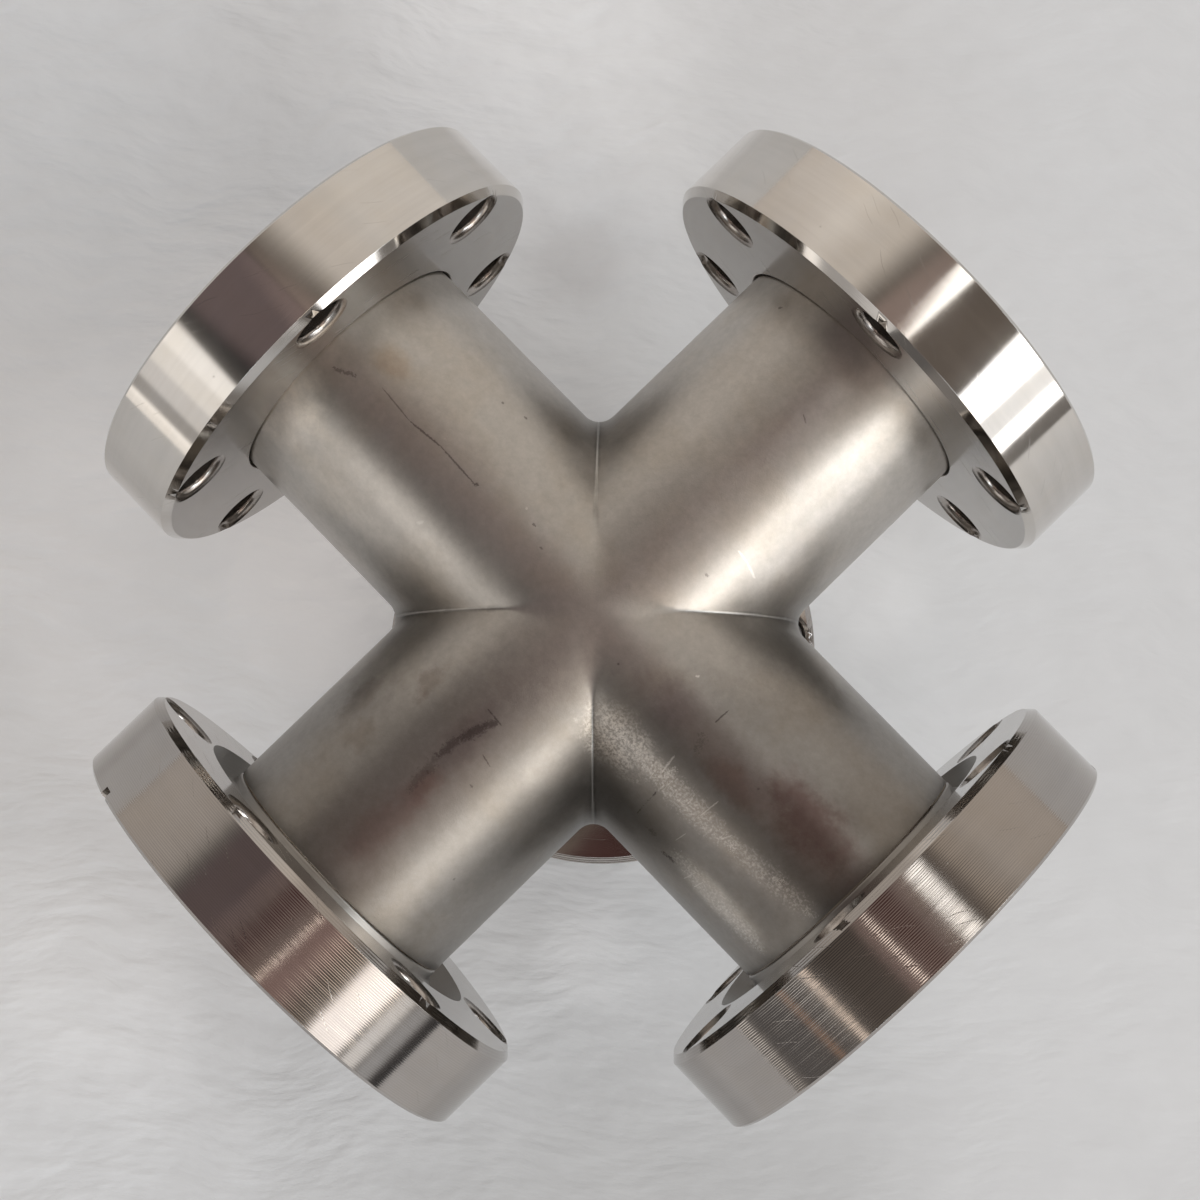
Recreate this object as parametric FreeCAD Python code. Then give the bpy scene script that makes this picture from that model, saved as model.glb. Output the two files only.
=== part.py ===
import FreeCAD, Part
import math
import os

# Five-way cross for high vacuum: five tube arms meet at right angles in one blended body,
# and every port ends in a knife-edge flange for a flat metal gasket.
# Two ports have flanges welded fast, and three have a bolt ring that turns on a weld hub.
# Millimetres. The part stands on its lower port: +Z is up, the origin is in that sealing face.

V = FreeCAD.Vector

# body
tube_od = 38.1
tube_wall = 1.65
centre_to_face = 62.5
crotch_fillet = 2.8
bore_edge_round = 0.6

# flange, common to all five ports
flange_thickness = 12.7
rim_chamfer_front = 0.4
rim_chamfer_back = 1.0
bolt_circle = 58.7
bolt_to_rim = 5.3
bolt_count = 6
bolt_hole = 6.8
hole_countersink = 9.0
hole_front_edge = 0.3

# seal: the knife edge stands in a recess that centres the gasket
recess_od = 48.3
knife_tip_od = 41.9
knife_tip_depth = 0.65
knife_slope_deg = 20.0
knife_tip_flat = 0.1
seal_floor_depth = 2.0
recess_lip_chamfer = 0.3

# grooves across the sealing face, to test the joint for leaks
leak_groove_width = 1.6
leak_groove_depth = 1.3
leak_groove_count = 2

# gap between bolt holes that has the first groove, counted round from the port's own +X
groove_gap_fixed = 1
groove_gap_right = 1
groove_gap_front = 0
groove_gap_bottom = 0

# fixed flange: the tube is pushed into its bore and welded from inside
socket_clearance = 0.15
socket_mouth_chamfer = 0.3
tube_set_back = 3.4
weld_leg = 1.5

# weld hub of a turning flange
hub_head_od = 50.6
hub_head_thickness = 5.9
hub_boss_od = 41.6
hub_boss_lip = 0.9
hub_boss_chamfer = 0.5
hub_neck_extra = 0.1
hub_neck_proud = 0.2
hub_corner_relief = 0.3
weld_groove = 0.25

# bolt ring that turns on the hub
ring_head_clearance = 0.15
ring_shoulder_gap = 0.1
ring_bore_clearance = 0.08
ring_land = 2.3
ring_recess_od = 48.8
ring_recess_floor_extra = 1.1
ring_edge_chamfer = 0.3

# wire that keeps the bolt ring on its hub
wire_d = 1.2
wire_side_clearance = 0.08
wire_end_gap_deg = 14.0
wire_land_gap = 0.12

# turn of each flange's bolt holes about its port
turn_left = 0.0
turn_rear = 1.5
turn_right = 11.0
turn_front = 20.0
turn_bottom = 10.0

# radii and stations that follow from the sizes above
tube_r = tube_od / 2
tube_bore_r = tube_r - tube_wall
flange_r = bolt_circle / 2 + bolt_to_rim
face = centre_to_face
back = centre_to_face - flange_thickness
hub_end = back - hub_neck_proud
fixed_tube_end = face - tube_set_back


def port_rotation(direction, reference):
    """Turns the port's own +Z to its direction, and its own +X to the reference."""
    return FreeCAD.Rotation(V(*reference), V(0, 0, 0), V(*direction), "ZXY")


ports = {
    "left": (port_rotation((-1, 0, 0), (0, 0, 1)), turn_left),
    "rear": (port_rotation((0, 1, 0), (0, 0, 1)), turn_rear),
    "right": (port_rotation((1, 0, 0), (0, 0, 1)), turn_right),
    "front": (port_rotation((0, -1, 0), (0, 0, 1)), turn_front),
    "bottom": (port_rotation((0, 0, -1), (1, 0, 0)), turn_bottom),
}
fixed_ports = ("left", "rear")
turning_ports = {
    "right": groove_gap_right,
    "front": groove_gap_front,
    "bottom": groove_gap_bottom,
}


def placed(shape, port):
    """Moves a piece from the port's own frame, which starts at the crossing of the arms."""
    rotation, turn = ports[port]
    result = shape.copy()
    result.Placement = FreeCAD.Placement(
        V(0, 0, centre_to_face),
        rotation.multiply(FreeCAD.Rotation(V(0, 0, 1), turn)),
    )
    return result


def turned(points):
    """Revolves a closed outline of (radius, distance from the crossing) about the port's axis."""
    wire = Part.makePolygon([V(r, 0, z) for r, z in points] + [V(points[0][0], 0, points[0][1])])
    return Part.Face(wire).revolve(V(0, 0, 0), V(0, 0, 1), 360)


def cone(r_low, r_high, low, high, x=0.0, y=0.0):
    return Part.makeCone(r_low, r_high, high - low, V(x, y, low), V(0, 0, 1))


def arm(radius, length, direction):
    return Part.makeCylinder(radius, length, V(0, 0, 0), V(*direction))


def crossing_edges(shape):
    """Edges where two arms meet, which are neither round ends nor straight seams."""
    return [e for e in shape.Edges if not isinstance(e.Curve, (Part.Circle, Part.Line))]


def arm_lengths():
    """Each arm's direction and where its tube ends."""
    lengths = {}
    for port in ports:
        end = fixed_tube_end if port in fixed_ports else hub_end
        direction = ports[port][0].multVec(V(0, 0, 1))
        lengths[port] = ((direction.x, direction.y, direction.z), end)
    return lengths


def crossed_arms(radius, edge_round, extra=0.0):
    """The five arms as one solid, with the edges where they meet rounded."""
    arms = [arm(radius, end + extra, way) for way, end in arm_lengths().values()]
    solid = arms[0].fuse(arms[1:]).removeSplitter()
    return solid.makeFillet(edge_round, crossing_edges(solid))


def weld_groove_cutter(end):
    """Trims the outer corner of an arm's end, for half of the weld seam's groove."""
    outer = tube_r + 1.0
    return turned([
        (tube_r - weld_groove, end + 1.0),
        (tube_r - weld_groove, end),
        (tube_r, end - weld_groove),
        (outer, end - weld_groove),
        (outer, end + 1.0),
    ])


def cross_body():
    """Blended body of five arms, hollow along all three axes."""
    outside = crossed_arms(tube_r, crotch_fillet)
    inside = crossed_arms(tube_bore_r, bore_edge_round, extra=1.0)
    body = outside.cut(inside)
    rotation_cuts = []
    for port in turning_ports:
        cutter = weld_groove_cutter(hub_end)
        cutter.Placement = FreeCAD.Placement(V(0, 0, 0), ports[port][0])
        rotation_cuts.append(cutter)
    body = body.cut(rotation_cuts)
    body.translate(V(0, 0, centre_to_face))
    return body


def seal_outline(bore_r):
    """Sealing side from the recess's lip in to the bore: lip, wall, slope, knife edge, floor."""
    recess_r = recess_od / 2
    tip_r = knife_tip_od / 2
    slope = math.tan(math.radians(knife_slope_deg))
    tip_end_r = tip_r + knife_tip_flat
    wall_depth = knife_tip_depth + (recess_r - tip_end_r) * slope
    return [
        (recess_r + recess_lip_chamfer, face),
        (recess_r, face - recess_lip_chamfer),
        (recess_r, face - wall_depth),
        (tip_end_r, face - knife_tip_depth),
        (tip_r, face - knife_tip_depth),
        (tip_r, face - seal_floor_depth),
        (bore_r, face - seal_floor_depth),
    ]


def rim_outline(back_edge):
    """Outer side of a flange, from its back face round to the sealing face."""
    r = flange_r
    return [
        (r - rim_chamfer_back, back_edge),
        (r, back_edge + rim_chamfer_back),
        (r, face - rim_chamfer_front),
        (r - rim_chamfer_front, face),
    ]


def bolt_hole_cutters():
    """Through holes with a countersink at the back and a broken edge at the face."""
    cutters = []
    hole_r = bolt_hole / 2
    sink_r = hole_countersink / 2
    for i in range(bolt_count):
        angle = math.radians(360.0 * i / bolt_count)
        x = bolt_circle / 2 * math.cos(angle)
        y = bolt_circle / 2 * math.sin(angle)
        cutters.append(Part.makeCylinder(hole_r, flange_thickness + 2, V(x, y, back - 1)))
        sink = sink_r - hole_r
        cutters.append(cone(sink_r + 1, hole_r, back - 1, back + sink, x, y))
        edge = hole_front_edge
        cutters.append(cone(hole_r, hole_r + edge + 1, face - edge, face + 1, x, y))
    return cutters


def leak_groove_cutters(inner_r, first_gap):
    """Grooves midway between two bolt holes, from the gasket's side out through the rim."""
    cutters = []
    for i in range(leak_groove_count):
        angle = (first_gap + 0.5) * 360.0 / bolt_count + 360.0 * i / leak_groove_count
        groove = Part.makeBox(
            flange_r - inner_r + 1,
            leak_groove_width,
            leak_groove_depth + 1,
            V(inner_r, -leak_groove_width / 2, face - leak_groove_depth),
        )
        groove.rotate(V(0, 0, 0), V(0, 0, 1), angle)
        cutters.append(groove)
    return cutters


def weld_bead(bore_r):
    """Hollow fillet of weld between the tube's end and the flange's bore."""
    end = fixed_tube_end
    inner_r = tube_bore_r + tube_wall * 0.1
    corner = V(bore_r, 0, end)
    toe = V(inner_r, 0, end)
    head = V(bore_r, 0, end + weld_leg)
    middle = V(bore_r - (bore_r - inner_r) * 0.34, 0, end + weld_leg * 0.34)
    section = Part.Wire([
        Part.makeLine(corner, toe),
        Part.Arc(toe, middle, head).toShape(),
        Part.makeLine(head, corner),
    ])
    return Part.Face(section).revolve(V(0, 0, 0), V(0, 0, 1), 360)


def fixed_flange():
    """One-piece flange that is bored for the tube and welded inside."""
    bore_r = tube_r + socket_clearance
    mouth = [
        (bore_r, back + socket_mouth_chamfer),
        (bore_r + socket_mouth_chamfer, back),
    ]
    blank = turned(mouth + rim_outline(back) + seal_outline(bore_r))
    grooves = leak_groove_cutters(recess_od / 2 - 0.5, groove_gap_fixed)
    flange = blank.cut(bolt_hole_cutters() + grooves)
    return flange.fuse(weld_bead(bore_r))


def wire_groove():
    """The groove's two sides and its floor radius, which follow the wire and the ring's land."""
    half = wire_d / 2 + wire_side_clearance
    middle = ring_land_end() - wire_land_gap - wire_d / 2
    floor_r = wire_ring_r() - wire_d / 2 - wire_side_clearance
    return middle + half, middle - half, floor_r


def ring_shoulder():
    """Where the bolt ring's shoulder faces the back of the hub's head."""
    return face - hub_head_thickness - ring_shoulder_gap


def ring_land_end():
    return ring_shoulder() - ring_land


def ring_bore_r():
    return hub_boss_od / 2 + ring_bore_clearance


def wire_ring_r():
    return hub_boss_od / 2


def weld_hub():
    """Hub with the knife edge, the head that the bolts pull on, the boss and the weld neck."""
    head_r = hub_head_od / 2
    boss_r = hub_boss_od / 2
    neck_r = tube_r + hub_neck_extra
    shoulder = face - hub_head_thickness
    groove_top, groove_low, groove_r = wire_groove()
    boss_end = groove_low - hub_boss_lip
    outline = [
        (tube_bore_r, hub_end),
        (neck_r - weld_groove, hub_end),
        (neck_r, hub_end + weld_groove),
        (neck_r, boss_end - (boss_r - hub_boss_chamfer - neck_r)),
        (boss_r - hub_boss_chamfer, boss_end),
        (boss_r, boss_end + hub_boss_chamfer),
        (boss_r, groove_low),
        (groove_r, groove_low),
        (groove_r, groove_top),
        (boss_r, groove_top),
        (boss_r, shoulder - hub_corner_relief),
        (boss_r - hub_corner_relief, shoulder),
        (head_r - ring_edge_chamfer, shoulder),
        (head_r, shoulder + ring_edge_chamfer),
        (head_r, face),
    ]
    return turned(outline + seal_outline(tube_bore_r))


def bolt_ring(first_groove_gap):
    """Bolt ring with a front counterbore for the hub's head and a tapered recess behind."""
    head_r = hub_head_od / 2 + ring_head_clearance
    bore_r = ring_bore_r()
    shoulder = ring_shoulder()
    land_end = ring_land_end()
    edge = ring_edge_chamfer
    blank = turned([
        (ring_recess_od / 2, back)
    ] + rim_outline(back) + [
        (head_r + edge, face),
        (head_r, face - edge),
        (head_r, shoulder),
        (bore_r + edge, shoulder),
        (bore_r, shoulder - edge),
        (bore_r, land_end),
        (bore_r + ring_recess_floor_extra, land_end),
    ])
    grooves = leak_groove_cutters(head_r - 0.5, first_groove_gap)
    return blank.cut(bolt_hole_cutters() + grooves)


def retaining_wire():
    """Split ring of round wire that sits in the hub's groove."""
    groove_top, groove_low, _ = wire_groove()
    centre = V(wire_ring_r(), 0, (groove_top + groove_low) / 2)
    section = Part.Face(Part.Wire(Part.Circle(centre, V(0, 1, 0), wire_d / 2).toShape()))
    return section.revolve(V(0, 0, 0), V(0, 0, 1), 360 - wire_end_gap_deg)


def main():
    os.makedirs("parts", exist_ok=True)
    nodes = {"cross_body": cross_body()}
    flange = fixed_flange()
    for port in fixed_ports:
        nodes["fixed_flange_" + port] = placed(flange, port)
    hub = weld_hub()
    wire = retaining_wire()
    for port, groove_gap in turning_ports.items():
        nodes["weld_hub_" + port] = placed(hub, port)
        nodes["bolt_ring_" + port] = placed(bolt_ring(groove_gap), port)
        nodes["retaining_wire_" + port] = placed(wire, port)
    for name, shape in nodes.items():
        shape.exportStep(os.path.join("parts", name + ".step"))
        print(name, shape.isValid(), len(shape.Solids), round(shape.Volume, 1))


main()
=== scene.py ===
"""Dresses the five-way cross fitting: a blended tube body, two welded flanges and three turning ones.

Metres. The part stands on the sealing face of its lower port, +Z is up, and the arms cross
62.5 mm above the origin. Finishes are worked out in millimetres in each port's own frame.
"""

import logging
import math
from collections.abc import Callable, Iterable
from dataclasses import dataclass, field
from enum import Enum
from typing import ClassVar

import bmesh
import bpy
from mathutils import Matrix, Vector


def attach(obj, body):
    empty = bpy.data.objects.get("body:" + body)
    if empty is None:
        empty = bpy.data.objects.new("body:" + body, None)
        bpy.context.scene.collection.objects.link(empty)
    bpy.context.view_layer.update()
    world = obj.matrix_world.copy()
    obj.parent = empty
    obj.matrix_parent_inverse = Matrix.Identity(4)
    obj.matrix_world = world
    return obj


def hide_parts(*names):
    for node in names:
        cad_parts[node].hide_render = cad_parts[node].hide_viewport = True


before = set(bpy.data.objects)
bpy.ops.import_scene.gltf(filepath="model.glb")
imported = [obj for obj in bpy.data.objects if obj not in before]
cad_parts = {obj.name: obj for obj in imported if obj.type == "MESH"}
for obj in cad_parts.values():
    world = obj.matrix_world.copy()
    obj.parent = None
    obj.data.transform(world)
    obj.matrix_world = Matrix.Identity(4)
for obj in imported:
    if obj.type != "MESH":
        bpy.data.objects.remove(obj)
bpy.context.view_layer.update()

LOG = logging.getLogger("cross_fitting")
MM = 0.001
CROSSING = Vector((0.0, 0.0, 62.5))

Socket = bpy.types.NodeSocket
Colour = tuple[float, float, float]
Triple = tuple[float, float, float]


class Port(Enum):
    """The five ports, by where they point."""

    LEFT = "left"
    REAR = "rear"
    RIGHT = "right"
    FRONT = "front"
    BOTTOM = "bottom"


class Surface(Enum):
    """The kinds of machined or blasted surface that are finished apart."""

    RIM = "rim"
    FACED = "faced"
    DRILLED = "drilled"
    SEAL = "seal"
    BLASTED = "blasted"
    BORE = "bore"
    NECK = "neck"
    WELD = "weld"
    WIRE = "wire"


@dataclass(frozen=True)
class PortFrame:
    """Place of one port: its own +Z points out of the port, and its own +X is the reference.

    Attributes:
        direction: Where the port points.
        reference: Where the port's own +X points before its bolt holes are turned.
        turn_deg: Turn of the bolt holes about the port.
        turning: Whether the port ends in a bolt ring that turns.
    """

    direction: Triple
    reference: Triple
    turn_deg: float
    turning: bool

    def axes(self) -> Matrix:
        """Returns the port's own axes, turned with its bolt holes, as the columns of a matrix."""
        out = Vector(self.direction)
        across = Vector(self.reference)
        side = out.cross(across)
        angle = math.radians(self.turn_deg)
        first = across * math.cos(angle) + side * math.sin(angle)
        return Matrix((first, out.cross(first), out)).transposed()

    def to_port(self, point: Vector) -> Vector:
        """Takes a point in metres in the part's frame to millimetres in the port's frame."""
        return self.axes().transposed() @ (point / MM - CROSSING)

    def to_part(self) -> Matrix:
        """Returns the matrix from millimetres in the port's frame to metres in the part's frame."""
        place = Matrix.Translation(CROSSING * MM) @ self.axes().to_4x4()
        return place @ Matrix.Diagonal((MM, MM, MM, 1.0))

    def mapping(self) -> tuple[Vector, Triple]:
        """Returns the location and rotation of a Mapping node that reads the port's frame."""
        turn = self.axes().transposed()
        return -(turn @ CROSSING), tuple(turn.to_euler())


PORTS: dict[Port, PortFrame] = {
    Port.LEFT: PortFrame((-1.0, 0.0, 0.0), (0.0, 0.0, 1.0), 0.0, False),
    Port.REAR: PortFrame((0.0, 1.0, 0.0), (0.0, 0.0, 1.0), 1.5, False),
    Port.RIGHT: PortFrame((1.0, 0.0, 0.0), (0.0, 0.0, 1.0), 11.0, True),
    Port.FRONT: PortFrame((0.0, -1.0, 0.0), (0.0, 0.0, 1.0), 20.0, True),
    Port.BOTTOM: PortFrame((0.0, 0.0, -1.0), (1.0, 0.0, 0.0), 10.0, True),
}


class ShaderTree:
    """Shorthand for laying nodes in one material, world or group."""

    def __init__(self, tree: bpy.types.NodeTree) -> None:
        """Wraps a node tree."""
        self.tree = tree

    def node(self, kind: str, **settings: object) -> bpy.types.Node:
        """Adds a node.

        Args:
            kind: The node's type name.
            **settings: Properties to set on it.

        Returns:
            The new node.
        """
        made = self.tree.nodes.new(kind)
        for name, value in settings.items():
            setattr(made, name, value)
        return made

    def feed(self, socket: Socket, value: object) -> None:
        """Links a socket to an input, or sets the input's own value."""
        if isinstance(value, bpy.types.NodeSocket):
            self.tree.links.new(value, socket)
        else:
            socket.default_value = value

    def math(self, operation: str, *values: object, clamp: bool = False) -> Socket:
        """Adds a Math node over one to three values and returns its result."""
        made = self.node("ShaderNodeMath", operation=operation, use_clamp=clamp)
        for socket, value in zip(made.inputs, values):
            self.feed(socket, value)
        return made.outputs[0]

    def vector(self, operation: str, *values: object) -> Socket:
        """Adds a Vector Math node and returns its vector, or its number where it gives one."""
        made = self.node("ShaderNodeVectorMath", operation=operation)
        for socket, value in zip(made.inputs, values):
            self.feed(socket, value)
        gives_number = operation in ("DOT_PRODUCT", "LENGTH", "DISTANCE")
        return made.outputs["Value" if gives_number else "Vector"]

    def scaled(self, vector: Socket, scale: object) -> Socket:
        """Returns the vector times a number."""
        made = self.node("ShaderNodeVectorMath", operation="SCALE")
        self.feed(made.inputs[0], vector)
        self.feed(made.inputs["Scale"], scale)
        return made.outputs["Vector"]

    def split(self, vector: Socket) -> tuple[Socket, Socket, Socket]:
        """Returns the three parts of a vector."""
        made = self.node("ShaderNodeSeparateXYZ")
        self.feed(made.inputs[0], vector)
        return made.outputs[0], made.outputs[1], made.outputs[2]

    def join(self, x: object, y: object, z: object) -> Socket:
        """Returns a vector made of three numbers."""
        made = self.node("ShaderNodeCombineXYZ")
        for socket, value in zip(made.inputs, (x, y, z)):
            self.feed(socket, value)
        return made.outputs[0]

    def remap(self, value: Socket, low: object, high: object, to_low: object = 0.0, to_high: object = 1.0) -> Socket:
        """Returns the value eased from one range to another, and held at its ends."""
        made = self.node("ShaderNodeMapRange", interpolation_type="SMOOTHSTEP")
        for name, number in zip(("Value", "From Min", "From Max", "To Min", "To Max"), (value, low, high, to_low, to_high)):
            self.feed(made.inputs[name], number)
        return made.outputs[0]

    def mix(self, factor: object, first: object, second: object) -> Socket:
        """Returns a colour between two colours."""
        made = self.node("ShaderNodeMix", data_type="RGBA", clamp_factor=True)
        self.feed(made.inputs[0], factor)
        for socket, value in ((made.inputs[6], first), (made.inputs[7], second)):
            self.feed(socket, (*value, 1.0) if isinstance(value, tuple) and len(value) == 3 else value)
        return made.outputs[2]

    def between(self, factor: object, first: object, second: object) -> Socket:
        """Returns a vector between two vectors."""
        made = self.node("ShaderNodeMix", data_type="VECTOR", factor_mode="UNIFORM", clamp_factor=True)
        for place, value in ((0, factor), (4, first), (5, second)):
            self.feed(made.inputs[place], value)
        return made.outputs[1]

    def tint(self, colour: Socket, factor: Socket) -> Socket:
        """Returns a colour with each of its parts multiplied by a number."""
        made = self.node("ShaderNodeVectorMath", operation="SCALE")
        self.feed(made.inputs[0], colour)
        self.feed(made.inputs["Scale"], factor)
        return made.outputs["Vector"]

    def noise(self, vector: Socket, scale: float, detail: float = 2.0, roughness: float = 0.5) -> Socket:
        """Returns a noise value from 0 to 1 at the vector."""
        made = self.node("ShaderNodeTexNoise", noise_dimensions="3D", normalize=True)
        self.feed(made.inputs["Vector"], vector)
        self.feed(made.inputs["Scale"], scale)
        self.feed(made.inputs["Detail"], detail)
        self.feed(made.inputs["Roughness"], roughness)
        return made.outputs[0]

    def wander(self, vector: Socket, scale: float, detail: float = 3.0, roughness: float = 0.7) -> Socket:
        """Returns a vector noise about zero at the vector."""
        noise = self.noise(vector, scale, detail, roughness).node
        return self.vector("SUBTRACT", noise.outputs["Color"], (0.5, 0.5, 0.5))

    def use(self, group: bpy.types.NodeTree, **values: object) -> bpy.types.Node:
        """Places a node group with values for its inputs, whose names have _ for spaces."""
        made = self.node("ShaderNodeGroup", node_tree=group)
        for name, value in values.items():
            self.feed(made.inputs[name.replace("_", " ")], value)
        return made


class GroupTree(ShaderTree):
    """A node group that is being built, with its named inputs and outputs."""

    def __init__(self, name: str, inputs: dict[str, object], outputs: dict[str, str]) -> None:
        """Starts a group.

        Args:
            name: The group's name.
            inputs: Each input's name and its first value: a number, or a triple for a vector.
            outputs: Each output's name and the type of its socket.
        """
        super().__init__(bpy.data.node_groups.new(name, "ShaderNodeTree"))
        for label, value in inputs.items():
            kind = "NodeSocketVector" if isinstance(value, tuple) else "NodeSocketFloat"
            socket = self.tree.interface.new_socket(label, in_out="INPUT", socket_type=kind)
            socket.default_value = value
        for label, kind in outputs.items():
            self.tree.interface.new_socket(label, in_out="OUTPUT", socket_type=kind)
        self.given = self.node("NodeGroupInput").outputs
        self.wanted = self.node("NodeGroupOutput").inputs

    def give(self, **results: object) -> bpy.types.NodeTree:
        """Links the results to the group's outputs and returns the finished group."""
        for name, value in results.items():
            self.feed(self.wanted[name.replace("_", " ")], value)
        return self.tree


class SurfaceGroups:
    """The effects that more than one finish uses, each a node group that is built once."""

    NUMBER = "NodeSocketFloat"
    VECTOR = "NodeSocketVector"

    def __init__(self) -> None:
        """Builds every group."""
        self.around_port = self._around_port()
        self.lathe_lines = self._lathe_lines()
        self.blast_grain = self._blast_grain()
        self.clouds = self._clouds()
        self.hairlines = self._hairlines()
        self.pits = self._pits()
        self.line_mark = self._line_mark()
        self.soft_spot = self._soft_spot()
        self.arm_normal = self._arm_normal()
        self.folds = self._folds()

    def _around_port(self) -> bpy.types.NodeTree:
        """Returns the group that turns a place by a port into radius, height and unrolled place."""
        g = GroupTree(
            "around_port",
            {"Place": (0.0, 0.0, 0.0), "Unroll Radius": 34.65},
            {"Radius": self.NUMBER, "Along": self.NUMBER, "Around": self.VECTOR, "Unrolled": self.VECTOR},
        )
        x, y, z = g.split(g.given["Place"])
        radius = g.vector("LENGTH", g.join(x, y, 0.0))
        around = g.vector("NORMALIZE", g.join(x, y, 0.0))
        arc = g.math("MULTIPLY", g.math("ARCTAN2", y, x), g.given["Unroll Radius"])
        return g.give(Radius=radius, Along=z, Around=around, Unrolled=g.join(arc, z, radius))

    def _lathe_lines(self) -> bpy.types.NodeTree:
        """Returns the group for the fine grooves that a turning tool leaves.

        They run round the port: Across is the place across them, in millimetres.
        """
        g = GroupTree(
            "lathe_lines",
            {"Across": 0.0, "Around": (0.0, 0.0, 0.0), "Pitch": 0.26, "Uneven": 0.5},
            {"Height": self.NUMBER, "Tone": self.NUMBER},
        )
        slow = g.scaled(g.given["Around"], 2.2)
        line = g.math("DIVIDE", g.given["Across"], g.given["Pitch"])
        where = g.vector("ADD", slow, g.join(0.0, 0.0, line))
        drift = g.noise(g.vector("MULTIPLY", where, (1.0, 1.0, 0.35)), 1.0, 1.0)
        phase = g.math("MULTIPLY_ADD", drift, g.math("MULTIPLY", g.given["Uneven"], 2.6), line)
        wave = g.math("SINE", g.math("MULTIPLY", phase, 2.0 * math.pi))
        fine = g.noise(g.vector("MULTIPLY", where, (1.4, 1.4, 2.7)), 1.0, 2.0, 0.65)
        even = g.math("MULTIPLY_ADD", wave, 0.5, 0.5)
        share = g.math("MULTIPLY", g.given["Uneven"], 0.9)
        height = g.node("ShaderNodeMix", data_type="FLOAT")
        g.feed(height.inputs[0], share)
        g.feed(height.inputs[2], even)
        g.feed(height.inputs[3], fine)
        broad = g.noise(g.vector("MULTIPLY", where, (0.8, 0.8, 0.12)), 1.0, 2.0)
        return g.give(Height=height.outputs[0], Tone=broad)

    def _blast_grain(self) -> bpy.types.NodeTree:
        """Returns the group for the grain of a bead-blasted surface."""
        g = GroupTree(
            "blast_grain",
            {"Place": (0.0, 0.0, 0.0), "Grain Size": 0.35},
            {"Height": self.NUMBER, "Tone": self.NUMBER},
        )
        place = g.scaled(g.given["Place"], g.math("DIVIDE", 1.0, g.given["Grain Size"]))
        coarse = g.noise(place, 0.55, 2.0, 0.6)
        fine = g.noise(place, 1.5, 2.0, 0.7)
        height = g.math("MULTIPLY_ADD", fine, 0.45, g.math("MULTIPLY", coarse, 0.55))
        tone = g.noise(place, 0.22, 4.0, 0.75)
        return g.give(Height=height, Tone=tone)

    def _clouds(self) -> bpy.types.NodeTree:
        """Returns the group for broad soft stains."""
        g = GroupTree(
            "clouds",
            {"Place": (0.0, 0.0, 0.0), "Reach": 18.0, "Edge": 0.15},
            {"Tone": self.NUMBER, "Stain": self.NUMBER},
        )
        place = g.scaled(g.given["Place"], g.math("DIVIDE", 1.0, g.given["Reach"]))
        tone = g.noise(place, 1.0, 3.0, 0.55)
        other = g.noise(g.vector("ADD", place, (7.3, 2.1, 5.6)), 1.7, 4.0, 0.62)
        low = g.math("SUBTRACT", 0.56, g.given["Edge"])
        high = g.math("ADD", 0.56, g.given["Edge"])
        return g.give(Tone=tone, Stain=g.remap(other, low, high))

    def _hairlines(self) -> bpy.types.NodeTree:
        """Returns the group for fine straight scratches on an unrolled surface."""
        g = GroupTree(
            "hairlines",
            {"Unrolled": (0.0, 0.0, 0.0), "Slant": 0.0, "Spacing": 1.2, "Length": 9.0, "Share": 0.3},
            {"Mask": self.NUMBER},
        )
        turn = g.node("ShaderNodeVectorRotate", rotation_type="Z_AXIS")
        g.feed(turn.inputs["Vector"], g.given["Unrolled"])
        g.feed(turn.inputs["Angle"], g.given["Slant"])
        x, y, _ = g.split(turn.outputs[0])
        across = g.math("DIVIDE", y, g.given["Spacing"])
        along = g.math("DIVIDE", x, g.given["Length"])
        bend = g.noise(g.join(along, g.math("MULTIPLY", across, 0.05), 3.0), 1.0, 1.0)
        line = g.math("MULTIPLY_ADD", bend, 0.6, across)
        cells = g.node("ShaderNodeTexVoronoi", voronoi_dimensions="2D", feature="F1")
        g.feed(cells.inputs["Vector"], g.join(along, line, 0.0))
        g.feed(cells.inputs["Scale"], 1.0)
        g.feed(cells.inputs["Randomness"], 1.0)
        cx, cy, _ = g.split(cells.outputs["Position"])
        off_line = g.math("ABSOLUTE", g.math("SUBTRACT", line, cy))
        off_end = g.math("ABSOLUTE", g.math("SUBTRACT", along, cx))
        chance = g.split(cells.outputs["Color"])[0]
        thin = g.math("MULTIPLY_ADD", chance, 0.05, 0.025)
        body = g.remap(off_line, thin, 0.0)
        ends = g.remap(off_end, 0.38, 0.22)
        kept = g.math("LESS_THAN", g.split(cells.outputs["Color"])[1], g.given["Share"])
        return g.give(Mask=g.math("MULTIPLY", g.math("MULTIPLY", body, ends), kept))

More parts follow.
